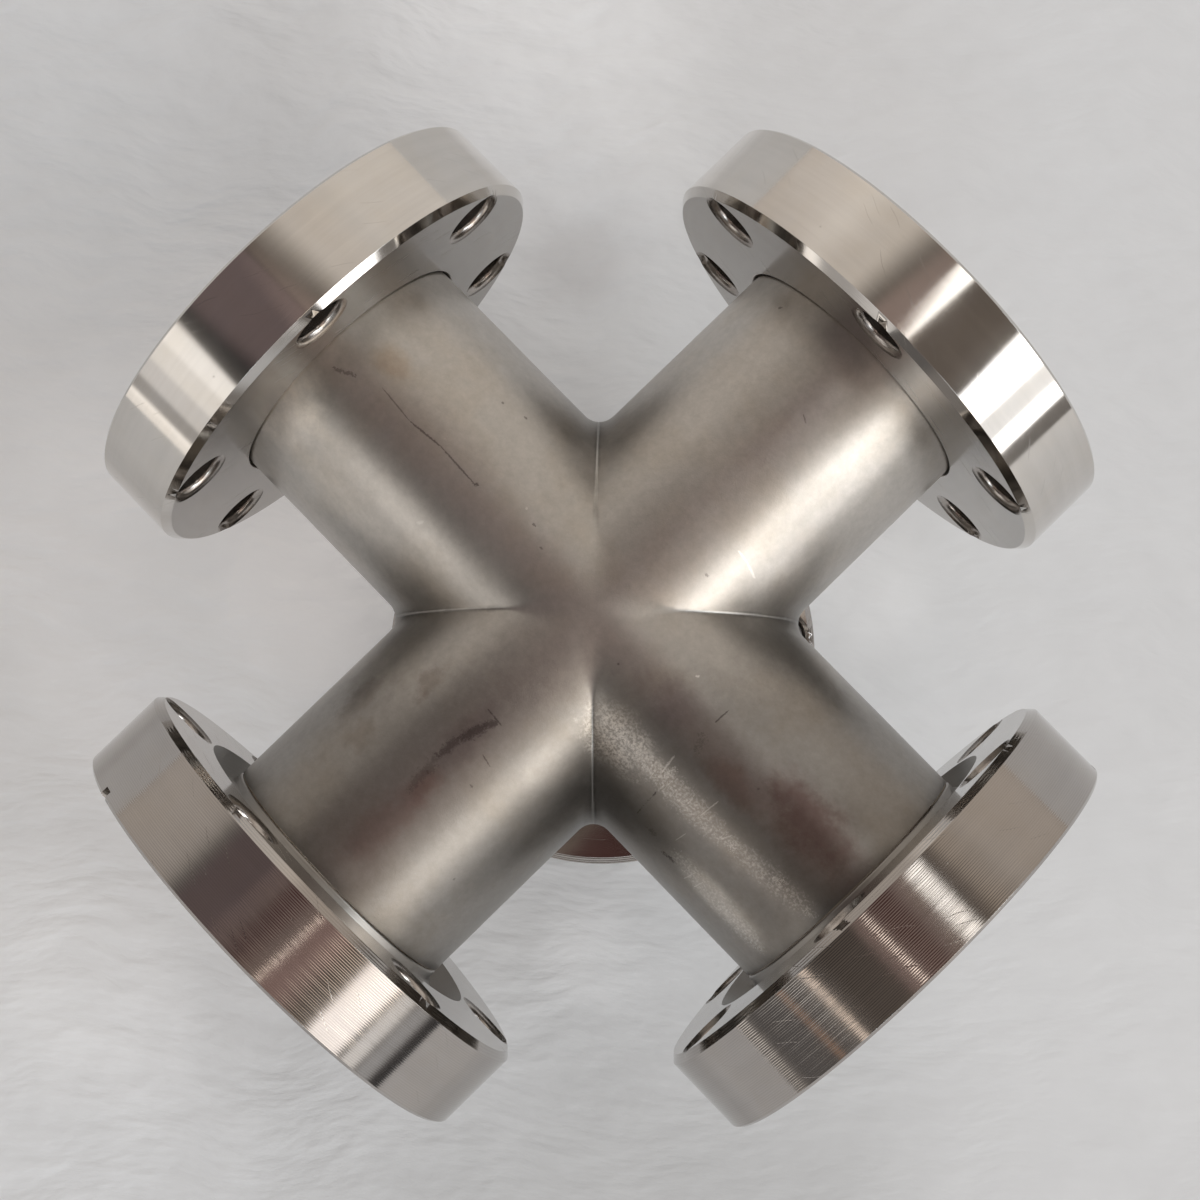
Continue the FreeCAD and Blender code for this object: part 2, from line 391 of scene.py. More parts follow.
    def _pits(self) -> bpy.types.NodeTree:
        """Returns the group for small round pits and specks."""
        g = GroupTree(
            "pits",
            {"Place": (0.0, 0.0, 0.0), "Cell": 3.0, "Size": 0.2, "Share": 0.2},
            {"Mask": self.NUMBER},
        )
        place = g.scaled(g.given["Place"], g.math("DIVIDE", 1.0, g.given["Cell"]))
        cells = g.node("ShaderNodeTexVoronoi", voronoi_dimensions="3D", feature="F1")
        g.feed(cells.inputs["Vector"], place)
        g.feed(cells.inputs["Scale"], 1.0)
        chance, other, _ = g.split(cells.outputs["Color"])
        reach = g.math("MULTIPLY", g.math("DIVIDE", g.given["Size"], g.given["Cell"]), g.math("MULTIPLY_ADD", other, 0.9, 0.4))
        ragged = g.math("MULTIPLY_ADD", g.noise(place, 9.0, 2.0), g.math("MULTIPLY", reach, 1.2), cells.outputs["Distance"])
        spot = g.remap(ragged, g.math("MULTIPLY", reach, 1.9), g.math("MULTIPLY", reach, 1.1))
        return g.give(Mask=g.math("MULTIPLY", spot, g.math("LESS_THAN", chance, g.given["Share"])))

    def _line_mark(self) -> bpy.types.NodeTree:
        """Returns the group for one scratch or scuff between two places on the surface.

        Wander is a vector noise about 0 that makes the mark's border ragged.
        """
        g = GroupTree(
            "line_mark",
            {
                "Place": (0.0, 0.0, 0.0), "Start": (0.0, 0.0, 0.0), "End": (1.0, 0.0, 0.0),
                "Width": 0.2, "Ragged": 0.4, "Wander": (0.0, 0.0, 0.0),
            },
            {"Mask": self.NUMBER},
        )
        shift = g.math("MULTIPLY", g.math("MULTIPLY", g.given["Ragged"], g.given["Width"]), 4.0)
        place = g.vector("ADD", g.scaled(g.given["Wander"], shift), g.given["Place"])
        span = g.vector("SUBTRACT", g.given["End"], g.given["Start"])
        off = g.vector("SUBTRACT", place, g.given["Start"])
        share = g.math(
            "DIVIDE", g.vector("DOT_PRODUCT", off, span), g.vector("DOT_PRODUCT", span, span), clamp=True,
        )
        gap = g.vector("LENGTH", g.vector("SUBTRACT", off, g.scaled(span, share)))
        ends = g.math("MULTIPLY", g.math("MULTIPLY", share, g.math("SUBTRACT", 1.0, share)), 4.0)
        width = g.math("MULTIPLY", g.given["Width"], g.math("MULTIPLY_ADD", g.math("SQRT", ends), 0.7, 0.3))
        return g.give(Mask=g.remap(gap, width, g.math("MULTIPLY", width, 0.25)))

    def _soft_spot(self) -> bpy.types.NodeTree:
        """Returns the group for one soft patch around a place on the surface.

        Wander is a vector noise about 0 that makes the patch's border ragged.
        """
        g = GroupTree(
            "soft_spot",
            {
                "Place": (0.0, 0.0, 0.0), "Centre": (0.0, 0.0, 0.0), "Reach": (5.0, 5.0, 5.0),
                "Ragged": 0.5, "Wander": (0.0, 0.0, 0.0),
            },
            {"Mask": self.NUMBER},
        )
        shift = g.vector("MULTIPLY", g.scaled(g.given["Wander"], g.given["Ragged"]), g.given["Reach"])
        off = g.vector("SUBTRACT", g.vector("MULTIPLY_ADD", shift, (1.6, 1.6, 1.6), g.given["Place"]), g.given["Centre"])
        return g.give(Mask=g.remap(g.vector("LENGTH", g.vector("DIVIDE", off, g.given["Reach"])), 1.0, 0.25))

    def _arm_normal(self) -> bpy.types.NodeTree:
        """Returns the group that gives the upper skin the normals of two crossing round arms.

        At the crossing they blend into one smooth crown, and further out they meet in a thin
        crease. Under the arms the normal is the surface's own.
        """
        g = GroupTree(
            "arm_normal",
            {
                "Place": (0.0, 0.0, 0.0), "Normal": (0.0, 0.0, 1.0), "Crown Blend": 3.6, "Crease Blend": 0.5,
                "Inner": 6.0, "Outer": 12.0, "Under": -8.0, "Over": -3.0,
            },
            {"Normal": self.VECTOR},
        )
        x, y, z = g.split(g.given["Place"])
        along_x = g.vector("NORMALIZE", g.join(0.0, y, z))
        along_y = g.vector("NORMALIZE", g.join(x, 0.0, z))
        lean = g.math("SUBTRACT", g.math("ABSOLUTE", x), g.math("ABSOLUTE", y))
        out = g.vector("LENGTH", g.join(x, y, 0.0))
        blend = g.remap(out, g.given["Inner"], g.given["Outer"], g.given["Crown Blend"], g.given["Crease Blend"])
        share = g.remap(lean, g.math("MULTIPLY", blend, -1.0), blend)
        blended = g.between(share, along_y, along_x)
        over = g.remap(z, g.given["Under"], g.given["Over"])
        return g.give(Normal=g.vector("NORMALIZE", g.between(over, g.given["Normal"], blended)))

    def _folds(self) -> bpy.types.NodeTree:
        """Returns the group for the masks of painted shade in the creases between the arms and in the corners that
        they run down to.
        """
        g = GroupTree(
            "folds",
            {"Place": (0.0, 0.0, 0.0), "Crease Width": 0.75, "Corner Reach": (11.0, 11.0, 14.0), "Wander": 0.0},
            {"Crease": self.NUMBER, "Corner": self.NUMBER},
        )
        x, y, z = g.split(g.given["Place"])
        x, y = g.math("ABSOLUTE", x), g.math("ABSOLUTE", y)
        off = g.math("ABSOLUTE", g.math("SUBTRACT", x, y))
        line = g.remap(g.math("MULTIPLY_ADD", g.given["Wander"], 1.2, off), g.given["Crease Width"], 0.0)
        away = g.remap(g.vector("LENGTH", g.join(x, y, 0.0)), 10.0, 14.0)
        over = g.remap(z, -3.0, 1.0)
        corner = g.vector("DIVIDE", g.vector("SUBTRACT", g.join(x, y, z), (18.0, 18.0, 2.0)), g.given["Corner Reach"])
        reached = g.math("MULTIPLY_ADD", g.given["Wander"], 0.3, g.vector("LENGTH", corner))
        crease = g.math("MULTIPLY", g.math("MULTIPLY", line, away), over)
        return g.give(Crease=crease, Corner=g.remap(reached, 1.0, 0.25))


@dataclass(frozen=True)
class Mark:
    """One mark on the body, in millimetres from the arms' crossing: most were left by years of handling, one is a
    painted glint.
    """

    start: Triple
    end: Triple
    width: float
    ragged: float
    tone: float


@dataclass(frozen=True)
class Patch:
    """One soft patch that tints the body or the board, in millimetres from the arms' crossing; the patches are
    stains, painted highlights, painted shade and painted reflections.

    Where the patch is full, its tint multiplies the colour of the skin.
    """

    centre: Triple
    reach: Triple
    ragged: float
    tint: Colour


class Finish:
    """A surface finish that can build its material for one port or for the whole part."""

    name: str = "finish"

    def shade(self, tree: ShaderTree, groups: SurfaceGroups, place: Socket, shader: bpy.types.Node) -> None:
        """Lays the nodes that feed the shader; each finish has its own."""
        raise NotImplementedError

    def material(self, groups: SurfaceGroups, port: Port | None) -> bpy.types.Material:
        """Builds the material.

        Args:
            groups: The shared effects.
            port: The port whose frame the pattern follows, or None for the part's frame.

        Returns:
            The finished material.
        """
        made = bpy.data.materials.new(self.name if port is None else f"{self.name}_{port.value}")
        made.use_nodes = True
        tree = ShaderTree(made.node_tree)
        shader = made.node_tree.nodes["Principled BSDF"]
        location, rotation = (-CROSSING, (0.0, 0.0, 0.0)) if port is None else PORTS[port].mapping()
        mapping = tree.node("ShaderNodeMapping", vector_type="POINT")
        tree.feed(mapping.inputs["Vector"], tree.node("ShaderNodeTexCoord").outputs["Object"])
        tree.feed(mapping.inputs["Location"], location)
        tree.feed(mapping.inputs["Rotation"], rotation)
        tree.feed(mapping.inputs["Scale"], (1.0 / MM, 1.0 / MM, 1.0 / MM))
        self.shade(tree, groups, mapping.outputs[0], shader)
        return made

    @staticmethod
    def bump(
        tree: ShaderTree, shader: bpy.types.Node, height: Socket, depth_mm: float, normal: Socket | None = None,
    ) -> None:
        """Feeds a relief of the given depth to the shader's normal.

        Args:
            tree: The material's tree.
            shader: The material's shader.
            height: The relief, from about 0 to 1.
            depth_mm: Depth of the relief, mm.
            normal: The normal that the relief stands on, or None for the surface's own.
        """
        bump = tree.node("ShaderNodeBump")
        if normal is not None:
            tree.feed(bump.inputs["Normal"], normal)
        tree.feed(bump.inputs["Strength"], 1.0)
        tree.feed(bump.inputs["Distance"], depth_mm * MM)
        tree.feed(bump.inputs["Height"], height)
        tree.feed(shader.inputs["Normal"], bump.outputs[0])


@dataclass(frozen=True)
class TurnedSteel(Finish):
    """A rim turned on a lathe: grooves round the port, hard reflections, small nicks.

    Attributes:
        colour: Base colour of the clean metal.
        roughness: Roughness of the clean metal.
        pitch: Spacing of the grooves, mm.
        depth: Depth of the grooves, mm.
        uneven: How irregular the grooves are, from 0 to 1.
        contrast: How much lighter the ridges are than the grooves.
    """

    colour: Colour = (0.62, 0.59, 0.555)
    roughness: float = 0.16
    pitch: float = 0.2
    depth: float = 0.002
    uneven: float = 0.9
    contrast: float = 0.1
    name: str = "turned_steel"

    def shade(self, tree: ShaderTree, groups: SurfaceGroups, place: Socket, shader: bpy.types.Node) -> None:
        """Lays the nodes of a turned rim."""
        polar = tree.use(groups.around_port, Place=place, Unroll_Radius=34.65)
        lines = tree.use(groups.lathe_lines, Across=polar.outputs["Along"], Around=polar.outputs["Around"], Pitch=self.pitch, Uneven=self.uneven)
        cloud = tree.use(groups.clouds, Place=place, Reach=11.0, Edge=0.2)
        nicks = tree.use(groups.pits, Place=place, Cell=2.4, Size=0.12, Share=0.28)
        scratches = tree.use(groups.hairlines, Unrolled=polar.outputs["Unrolled"], Slant=0.5, Spacing=1.6, Length=5.0, Share=0.22)
        wear = tree.math("ADD", tree.math("MULTIPLY", nicks.outputs[0], 0.7), tree.math("MULTIPLY", scratches.outputs[0], 0.5), clamp=True)
        tone = tree.math("MULTIPLY_ADD", tree.math("SUBTRACT", lines.outputs["Tone"], 0.5), 0.14, 1.0)
        tone = tree.math("MULTIPLY_ADD", tree.math("SUBTRACT", cloud.outputs["Tone"], 0.5), 0.16, tone)
        tone = tree.math("MULTIPLY_ADD", tree.math("SUBTRACT", lines.outputs["Height"], 0.5), self.contrast, tone)
        warm = tuple(c * f for c, f in zip(self.colour, (0.97, 0.93, 0.86)))
        base = tree.mix(tree.math("MULTIPLY", cloud.outputs["Stain"], 0.35), self.colour, warm)
        base = tree.tint(base, tone)
        base = tree.mix(tree.math("MULTIPLY", wear, 0.45), base, (0.30, 0.28, 0.26))
        tree.feed(shader.inputs["Base Color"], base)
        rough = tree.math("MULTIPLY_ADD", tree.math("SUBTRACT", cloud.outputs["Tone"], 0.5), 0.12, self.roughness)
        rough = tree.math("MULTIPLY_ADD", wear, 0.22, rough)
        tree.feed(shader.inputs["Roughness"], rough)
        shader.inputs["Metallic"].default_value = 1.0
        height = tree.math("SUBTRACT", lines.outputs["Height"], tree.math("MULTIPLY", wear, 1.2))
        self.bump(tree, shader, height, self.depth)


@dataclass(frozen=True)
class FacedSteel(Finish):
    """A flat face that was turned: fine rings about the port.

    Attributes:
        colour: Base colour of the clean metal.
        roughness: Roughness of the clean metal.
        pitch: Spacing of the rings, mm.
        depth: Depth of the rings, mm.
    """

    colour: Colour = (0.41, 0.391, 0.371)
    roughness: float = 0.2
    pitch: float = 0.18
    depth: float = 0.0016
    name: str = "faced_steel"

    def shade(self, tree: ShaderTree, groups: SurfaceGroups, place: Socket, shader: bpy.types.Node) -> None:
        """Lays the nodes of a faced surface."""
        polar = tree.use(groups.around_port, Place=place, Unroll_Radius=29.35)
        lines = tree.use(groups.lathe_lines, Across=polar.outputs["Radius"], Around=polar.outputs["Around"], Pitch=self.pitch, Uneven=0.8)
        cloud = tree.use(groups.clouds, Place=place, Reach=9.0, Edge=0.18)
        scratches = tree.use(groups.hairlines, Unrolled=place, Slant=0.9, Spacing=2.2, Length=7.0, Share=0.2)
        tone = tree.math("MULTIPLY_ADD", tree.math("SUBTRACT", lines.outputs["Tone"], 0.5), 0.16, 1.0)
        tone = tree.math("MULTIPLY_ADD", tree.math("SUBTRACT", cloud.outputs["Tone"], 0.5), 0.14, tone)
        warm = tuple(c * f for c, f in zip(self.colour, (0.95, 0.90, 0.84)))
        base = tree.tint(tree.mix(tree.math("MULTIPLY", cloud.outputs["Stain"], 0.4), self.colour, warm), tone)
        tree.feed(shader.inputs["Base Color"], base)
        rough = tree.math("MULTIPLY_ADD", tree.math("SUBTRACT", cloud.outputs["Tone"], 0.5), 0.1, self.roughness)
        rough = tree.math("MULTIPLY_ADD", scratches.outputs[0], 0.15, rough)
        tree.feed(shader.inputs["Roughness"], rough)
        shader.inputs["Metallic"].default_value = 1.0
        height = tree.math("SUBTRACT", lines.outputs["Height"], scratches.outputs[0])
        self.bump(tree, shader, height, self.depth)


@dataclass(frozen=True)
class DrilledSteel(Finish):
    """The wall of a drilled hole or a milled groove: darker, with feed marks down the wall."""

    colour: Colour = (0.46, 0.43, 0.40)
    roughness: float = 0.24
    pitch: float = 0.35
    depth: float = 0.006
    name: str = "drilled_steel"

    def shade(self, tree: ShaderTree, groups: SurfaceGroups, place: Socket, shader: bpy.types.Node) -> None:
        """Lays the nodes of a drilled wall."""
        polar = tree.use(groups.around_port, Place=place, Unroll_Radius=29.35)
        lines = tree.use(groups.lathe_lines, Across=polar.outputs["Along"], Around=tree.scaled(place, 0.4), Pitch=self.pitch, Uneven=0.6)
        tone = tree.math("MULTIPLY_ADD", lines.outputs["Tone"], 0.5, 0.7)
        tree.feed(shader.inputs["Base Color"], tree.tint(tree.mix(lines.outputs["Height"], self.colour, (0.40, 0.36, 0.33)), tone))
        tree.feed(shader.inputs["Roughness"], tree.math("MULTIPLY_ADD", lines.outputs["Tone"], 0.12, self.roughness - 0.06))
        shader.inputs["Metallic"].default_value = 1.0
        self.bump(tree, shader, lines.outputs["Height"], self.depth)


@dataclass(frozen=True)
class BlastedSteel(Finish):
    """The blended body: a bead-blasted satin skin with stains, specks, handling marks, and painted highlights, shade
    and reflections.

    Attributes:
        colour: Base colour of the clean skin.
        roughness: Roughness of the clean skin.
        grain: Size of the blasted grain, mm.
        depth: Depth of the grain, mm.
        dulled: What is left of the colour where painted shade darkens the front and right arms.
        crease: What is left of the colour where painted shade darkens the creases between the arms.
        corner: What is left of the colour where painted shade darkens the corners at the creases' lower ends.
        marks: The scratches and scuffs.
        patches: Patches that tint the skin: stains, painted highlights, painted shade and painted reflections.
        scrapes: The bands of short bright scrapes.
    """

    colour: Colour = (0.468, 0.443, 0.412)
    roughness: float = 0.36
    grain: float = 0.3
    depth: float = 0.018
    dulled: float = 0.62
    crease: float = 0.64
    corner: float = 0.58
    marks: tuple[Mark, ...] = ()
    patches: tuple[Patch, ...] = ()
    scrapes: tuple[Mark, ...] = ()
    name: str = "blasted_steel"

    # Colour of the bright scrapes and bright marks, and of painted glints: the bright specks and the glint mark near
    # the crown.
    SCRAPED: ClassVar[Colour] = (0.74, 0.71, 0.67)
    DIRT: ClassVar[Colour] = (0.085, 0.07, 0.068)

    def shade(self, tree: ShaderTree, groups: SurfaceGroups, place: Socket, shader: bpy.types.Node) -> None:
        """Lays the nodes of the blasted skin."""
        grain = tree.use(groups.blast_grain, Place=place, Grain_Size=self.grain)
        fine = tree.wander(place, 2.6)
        broad = tree.wander(place, 0.35, 4.0, 0.65)
        cloud = tree.use(groups.clouds, Place=place, Reach=16.0, Edge=0.16)
        patched = self._patched(tree, groups, place, broad)
        dark, bright = self._marked(tree, groups, place, fine)
        scraped = self._scraped(tree, groups, place, fine)
        sway = tree.split(broad)[0]
        base = self._skin(tree, place, grain, cloud, sway)
        base = self._folded(tree, groups, place, base, sway)
        base = self._speckled(tree, groups, place, base, broad)
        base = tree.mix(scraped, tree.vector("MULTIPLY", base, patched), self.SCRAPED)
        base = tree.mix(dark, base, self.DIRT)
        base = tree.mix(bright, base, self.SCRAPED)
        tree.feed(shader.inputs["Base Color"], base)
        rough = tree.math("MULTIPLY_ADD", tree.math("SUBTRACT", cloud.outputs["Tone"], 0.5), 0.10, self.roughness)
        tree.feed(shader.inputs["Roughness"], tree.math("MULTIPLY_ADD", scraped, -0.06, rough))
        shader.inputs["Metallic"].default_value = 1.0
        surface = tree.node("ShaderNodeNewGeometry").outputs["Normal"]
        arms = tree.use(groups.arm_normal, Place=place, Normal=surface)
        self.bump(tree, shader, grain.outputs["Height"], self.depth, arms.outputs[0])

    def _patched(self, tree: ShaderTree, groups: SurfaceGroups, place: Socket, broad: Socket) -> Socket:
        """Returns what the stains, painted highlights, painted shade and painted reflections together multiply the
        colour by.
        """
        tint = tree.between(0.0, (1.0, 1.0, 1.0), (1.0, 1.0, 1.0))
        for patch in self.patches:
            spot = tree.use(
                groups.soft_spot, Place=place, Centre=patch.centre, Reach=patch.reach,
                Ragged=patch.ragged, Wander=broad,
            )
            tint = tree.vector("MULTIPLY", tint, tree.between(spot.outputs[0], (1.0, 1.0, 1.0), patch.tint))
        return tint

    def _marked(
        self, tree: ShaderTree, groups: SurfaceGroups, place: Socket, fine: Socket,
    ) -> tuple[Socket, Socket]:
        """Returns the masks of all dark and all bright marks and specks."""
        specks = tree.use(groups.pits, Place=place, Cell=6.0, Size=0.22, Share=0.3)
        glints = tree.use(
            groups.pits, Place=tree.vector("ADD", place, (31.0, 17.0, 5.0)), Cell=5.0, Size=0.14, Share=0.25,
        )
        dark = tree.math("MULTIPLY", specks.outputs[0], 0.6)
        bright = tree.math("MULTIPLY", glints.outputs[0], 0.55)
        for mark in self.marks:
            part = self._one_mark(tree, groups, place, fine, mark)
            if mark.tone < 0.0:
                dark = tree.math("MAXIMUM", dark, part)
            else:
                bright = tree.math("MAXIMUM", bright, part)
        return dark, bright

    @staticmethod
    def _one_mark(tree: ShaderTree, groups: SurfaceGroups, place: Socket, fine: Socket, mark: Mark) -> Socket:
        """Returns the mask of one mark, as strong as its tone."""
        line = tree.use(
            groups.line_mark, Place=place, Start=mark.start, End=mark.end, Width=mark.width,
            Ragged=mark.ragged, Wander=fine,
        )
        return tree.math("MULTIPLY", line.outputs[0], abs(mark.tone))

    def _scraped(self, tree: ShaderTree, groups: SurfaceGroups, place: Socket, fine: Socket) -> Socket:
        """Returns the mask of the bands of short bright scrapes."""
        hit = tree.math("MULTIPLY", 0.0, 0.0)
        for band in self.scrapes:
            hit = tree.math("MAXIMUM", hit, self._one_mark(tree, groups, place, fine, band))
        x, y, _ = tree.split(place)
        across = tree.use(
            groups.hairlines, Unrolled=tree.join(y, x, 0.0), Slant=0.08, Spacing=0.4, Length=2.2, Share=0.5,
        )
        blotch = tree.remap(tree.noise(place, 2.7, 2.0, 0.6), 0.42, 0.68)
        strokes = tree.math("MULTIPLY_ADD", across.outputs[0], 0.7, tree.math("MULTIPLY", blotch, 0.6), clamp=True)
        return tree.math("MULTIPLY", hit, strokes)

    def _skin(
        self, tree: ShaderTree, place: Socket, grain: bpy.types.Node, cloud: bpy.types.Node, sway: Socket,
    ) -> Socket:
        """Returns the colour of the skin with its grain, its clouds and painted shade that darkens the front and
        right arms.
        """
        tone = tree.math("MULTIPLY_ADD", tree.math("SUBTRACT", grain.outputs["Tone"], 0.5), 0.42, 1.0)
        tone = tree.math("MULTIPLY_ADD", tree.math("SUBTRACT", cloud.outputs["Tone"], 0.5), 0.22, tone)
        toward = tree.vector("DOT_PRODUCT", place, (0.712, -0.695, 0.0))
        # Painted shade: the skin darkens toward the front and right arms.
        dull = tree.remap(tree.math("MULTIPLY_ADD", sway, 8.0, toward), 2.0, 16.0, 1.0, self.dulled)
        brown = tuple(c * f for c, f in zip(self.colour, (0.93, 0.88, 0.81)))
        base = tree.mix(tree.math("MULTIPLY", cloud.outputs["Stain"], 0.5), self.colour, brown)
        return tree.tint(base, tree.math("MULTIPLY", tone, dull))

    def _folded(self, tree: ShaderTree, groups: SurfaceGroups, place: Socket, base: Socket, sway: Socket) -> Socket:
        """Returns the colour with painted shade in the creases and in the corners between the arms."""
        folds = tree.use(groups.folds, Place=place, Wander=sway)
        crease = tree.math("MULTIPLY_ADD", folds.outputs["Crease"], self.crease - 1.0, 1.0)
        corner = tree.math("MULTIPLY_ADD", folds.outputs["Corner"], self.corner - 1.0, 1.0)
        return tree.tint(base, tree.math("MULTIPLY", crease, corner))

    def _speckled(
        self, tree: ShaderTree, groups: SurfaceGroups, place: Socket, base: Socket, broad: Socket,
    ) -> Socket:
        """Returns the colour with a coarser speckle beside the crease that was blended last, in a spot lifted by half
        as painted highlight.
        """
        spot = tree.use(
            groups.soft_spot, Place=place, Centre=(14.5, -9.6, 16.4), Reach=(8.0, 5.0, 5.5), Ragged=0.9, Wander=broad,
        )
        coarse = tree.remap(tree.noise(place, 2.4, 2.0, 0.75), 0.36, 0.64, -0.4, 0.6)
        lifted = tree.math("MULTIPLY_ADD", coarse, spot.outputs[0], 1.0)
        # Painted highlight: the speckled spot is lifted by half.
        return tree.tint(base, tree.math("MULTIPLY_ADD", spot.outputs[0], 0.5, lifted))


@dataclass(frozen=True)
class BoreSteel(Finish):
    """The inside of the tubes and hubs: a drawn, pickled wall."""

    colour: Colour = (0.48, 0.455, 0.43)
    roughness: float = 0.3
    name: str = "bore_steel"

    def shade(self, tree: ShaderTree, groups: SurfaceGroups, place: Socket, shader: bpy.types.Node) -> None:
        """Lays the nodes of the inner wall."""
        grain = tree.use(groups.blast_grain, Place=place, Grain_Size=0.6)
        cloud = tree.use(groups.clouds, Place=place, Reach=12.0, Edge=0.2)
        tone = tree.math("MULTIPLY_ADD", tree.math("SUBTRACT", grain.outputs["Tone"], 0.5), 0.2, 1.0)
        brown = tuple(c * f for c, f in zip(self.colour, (0.92, 0.84, 0.74)))
        base = tree.tint(tree.mix(tree.math("MULTIPLY", cloud.outputs["Stain"], 0.6), self.colour, brown), tone)
        tree.feed(shader.inputs["Base Color"], base)
        tree.feed(shader.inputs["Roughness"], tree.math("MULTIPLY_ADD", cloud.outputs["Tone"], 0.16, self.roughness - 0.08))
        shader.inputs["Metallic"].default_value = 1.0
        self.bump(tree, shader, grain.outputs["Height"], 0.004)


@dataclass(frozen=True)
class WeldSteel(Finish):
    """A weld seam: small overlapping ripples, with a straw heat tint that follows them."""

    colour: Colour = (0.52, 0.48, 0.43)
    roughness: float = 0.28
    name: str = "weld_steel"

    def shade(self, tree: ShaderTree, groups: SurfaceGroups, place: Socket, shader: bpy.types.Node) -> None:
        """Lays the nodes of the weld."""
        polar = tree.use(groups.around_port, Place=place, Unroll_Radius=19.0)
        arc, along, radius = tree.split(polar.outputs["Unrolled"])
        bow = tree.math("MULTIPLY", tree.math("POWER", tree.math("SUBTRACT", along, 59.6), 2.0), 0.5)
        ripple = tree.math("SINE", tree.math("MULTIPLY", tree.math("ADD", arc, bow), 7.5))
        grain = tree.use(groups.blast_grain, Place=place, Grain_Size=0.4)
        tint = tree.mix(tree.math("MULTIPLY_ADD", ripple, 0.2, 0.4), self.colour, (0.46, 0.36, 0.27))
        tree.feed(shader.inputs["Base Color"], tree.tint(tint, tree.math("MULTIPLY_ADD", grain.outputs["Tone"], 0.3, 0.85)))
        tree.feed(shader.inputs["Roughness"], tree.math("MULTIPLY_ADD", grain.outputs["Tone"], 0.1, self.roughness))
        shader.inputs["Metallic"].default_value = 1.0
        self.bump(tree, shader, tree.math("MULTIPLY_ADD", grain.outputs["Height"], 0.2, ripple), 0.03)


@dataclass(frozen=True)
class SpringSteel(Finish):
    """The drawn wire that keeps a bolt ring on its hub."""

    colour: Colour = (0.30, 0.285, 0.265)
    roughness: float = 0.4
    name: str = "spring_steel"

    def shade(self, tree: ShaderTree, groups: SurfaceGroups, place: Socket, shader: bpy.types.Node) -> None:
        """Lays the nodes of the wire."""
        grain = tree.use(groups.blast_grain, Place=place, Grain_Size=0.25)
        cloud = tree.use(groups.clouds, Place=place, Reach=6.0, Edge=0.2)
        tone = tree.math("MULTIPLY_ADD", tree.math("SUBTRACT", grain.outputs["Tone"], 0.5), 0.2, 1.0)
        base = tree.tint(tree.mix(tree.math("MULTIPLY", cloud.outputs["Stain"], 0.4), self.colour, (0.26, 0.24, 0.215)), tone)
        tree.feed(shader.inputs["Base Color"], base)
        tree.feed(shader.inputs["Roughness"], tree.math("MULTIPLY_ADD", cloud.outputs["Tone"], 0.12, self.roughness - 0.05))
        shader.inputs["Metallic"].default_value = 1.0
        self.bump(tree, shader, grain.outputs["Height"], 0.002)


@dataclass(frozen=True)
class PaintedBoard(Finish):
    """The pale board that the part stands on: brushed paint with a soft relief, and painted light and shade.

    Attributes:
        colour: Base colour of the paint.
        lift: Light that the camera and the metal see on top of it; it lights nothing.
        ridge: Depth of the paint's relief, mm.
        tones: Painted light and shade on the paint: paler areas of painted light that thin the part's shadow and
            darker areas of painted shade and shadow, in millimetres from the board's middle.
    """

    colour: Colour = (0.594, 0.603, 0.614)
    lift: float = 0.22
    ridge: float = 0.85
    tones: tuple[Patch, ...] = ()
    name: str = "painted_board"

    def shade(self, tree: ShaderTree, groups: SurfaceGroups, place: Socket, shader: bpy.types.Node) -> None:
        """Lays the nodes of the board."""
        place = tree.vector("MULTIPLY", place, (1.0, 1.0, 0.0))
        turn = tree.node("ShaderNodeVectorRotate", rotation_type="Z_AXIS")
        tree.feed(turn.inputs["Vector"], place)
        turn.inputs["Angle"].default_value = math.radians(-42.0)
        bent = tree.math("MULTIPLY", tree.math("SUBTRACT", tree.noise(place, 0.022, 2.0), 0.5), 22.0)
        along, across, _ = tree.split(turn.outputs[0])
        stroke = tree.join(tree.math("MULTIPLY", along, 0.42), tree.math("ADD", across, bent), 0.0)
        broad = tree.noise(stroke, 0.06, 2.0, 0.5)
        waves = tree.noise(stroke, 0.24, 2.0, 0.5)
        bristles = tree.noise(stroke, 0.8, 2.0, 0.6)
        brushed = tree.remap(along, 70.0, -50.0, 0.4, 1.0)
        specks = tree.use(groups.pits, Place=place, Cell=24.0, Size=0.5, Share=0.3)
        tone = tree.math("MULTIPLY_ADD", tree.math("SUBTRACT", broad, 0.5), 0.06, 1.0)
        streaks = tree.math("MULTIPLY", tree.math("SUBTRACT", waves, 0.5), brushed)
        tone = tree.math("MULTIPLY_ADD", streaks, 0.09, tone)
        paint = tree.tint(self._toned(tree, groups, place), tone)
        base = tree.mix(tree.math("MULTIPLY", specks.outputs[0], 0.45), paint, (0.33, 0.32, 0.30))
        tree.feed(shader.inputs["Base Color"], base)
        shader.inputs["Roughness"].default_value = 0.6
        ray = tree.node("ShaderNodeLightPath")
        seen = tree.math("MAXIMUM", ray.outputs["Is Camera Ray"], ray.outputs["Is Glossy Ray"])
        tree.feed(shader.inputs["Emission Color"], base)
        tree.feed(shader.inputs["Emission Strength"], tree.math("MULTIPLY", seen, self.lift))
        relief = tree.math("MULTIPLY_ADD", bristles, 0.14, waves)
        relief = tree.math("MULTIPLY_ADD", broad, 0.6, relief)
        self.bump(tree, shader, tree.math("MULTIPLY", relief, brushed), self.ridge)

    def _toned(self, tree: ShaderTree, groups: SurfaceGroups, place: Socket) -> Socket:
        """Returns the paint's colour with its painted light and shade."""
        wander = tree.wander(place, 0.025, 2.0, 0.5)
        paint = tree.between(0.0, self.colour, self.colour)
        for area in self.tones:
            spot = tree.use(
                groups.soft_spot, Place=place, Centre=area.centre, Reach=area.reach,
                Ragged=area.ragged, Wander=wander,
            )
            paint = tree.vector("MULTIPLY", paint, tree.between(spot.outputs[0], (1.0, 1.0, 1.0), area.tint))
        return paint


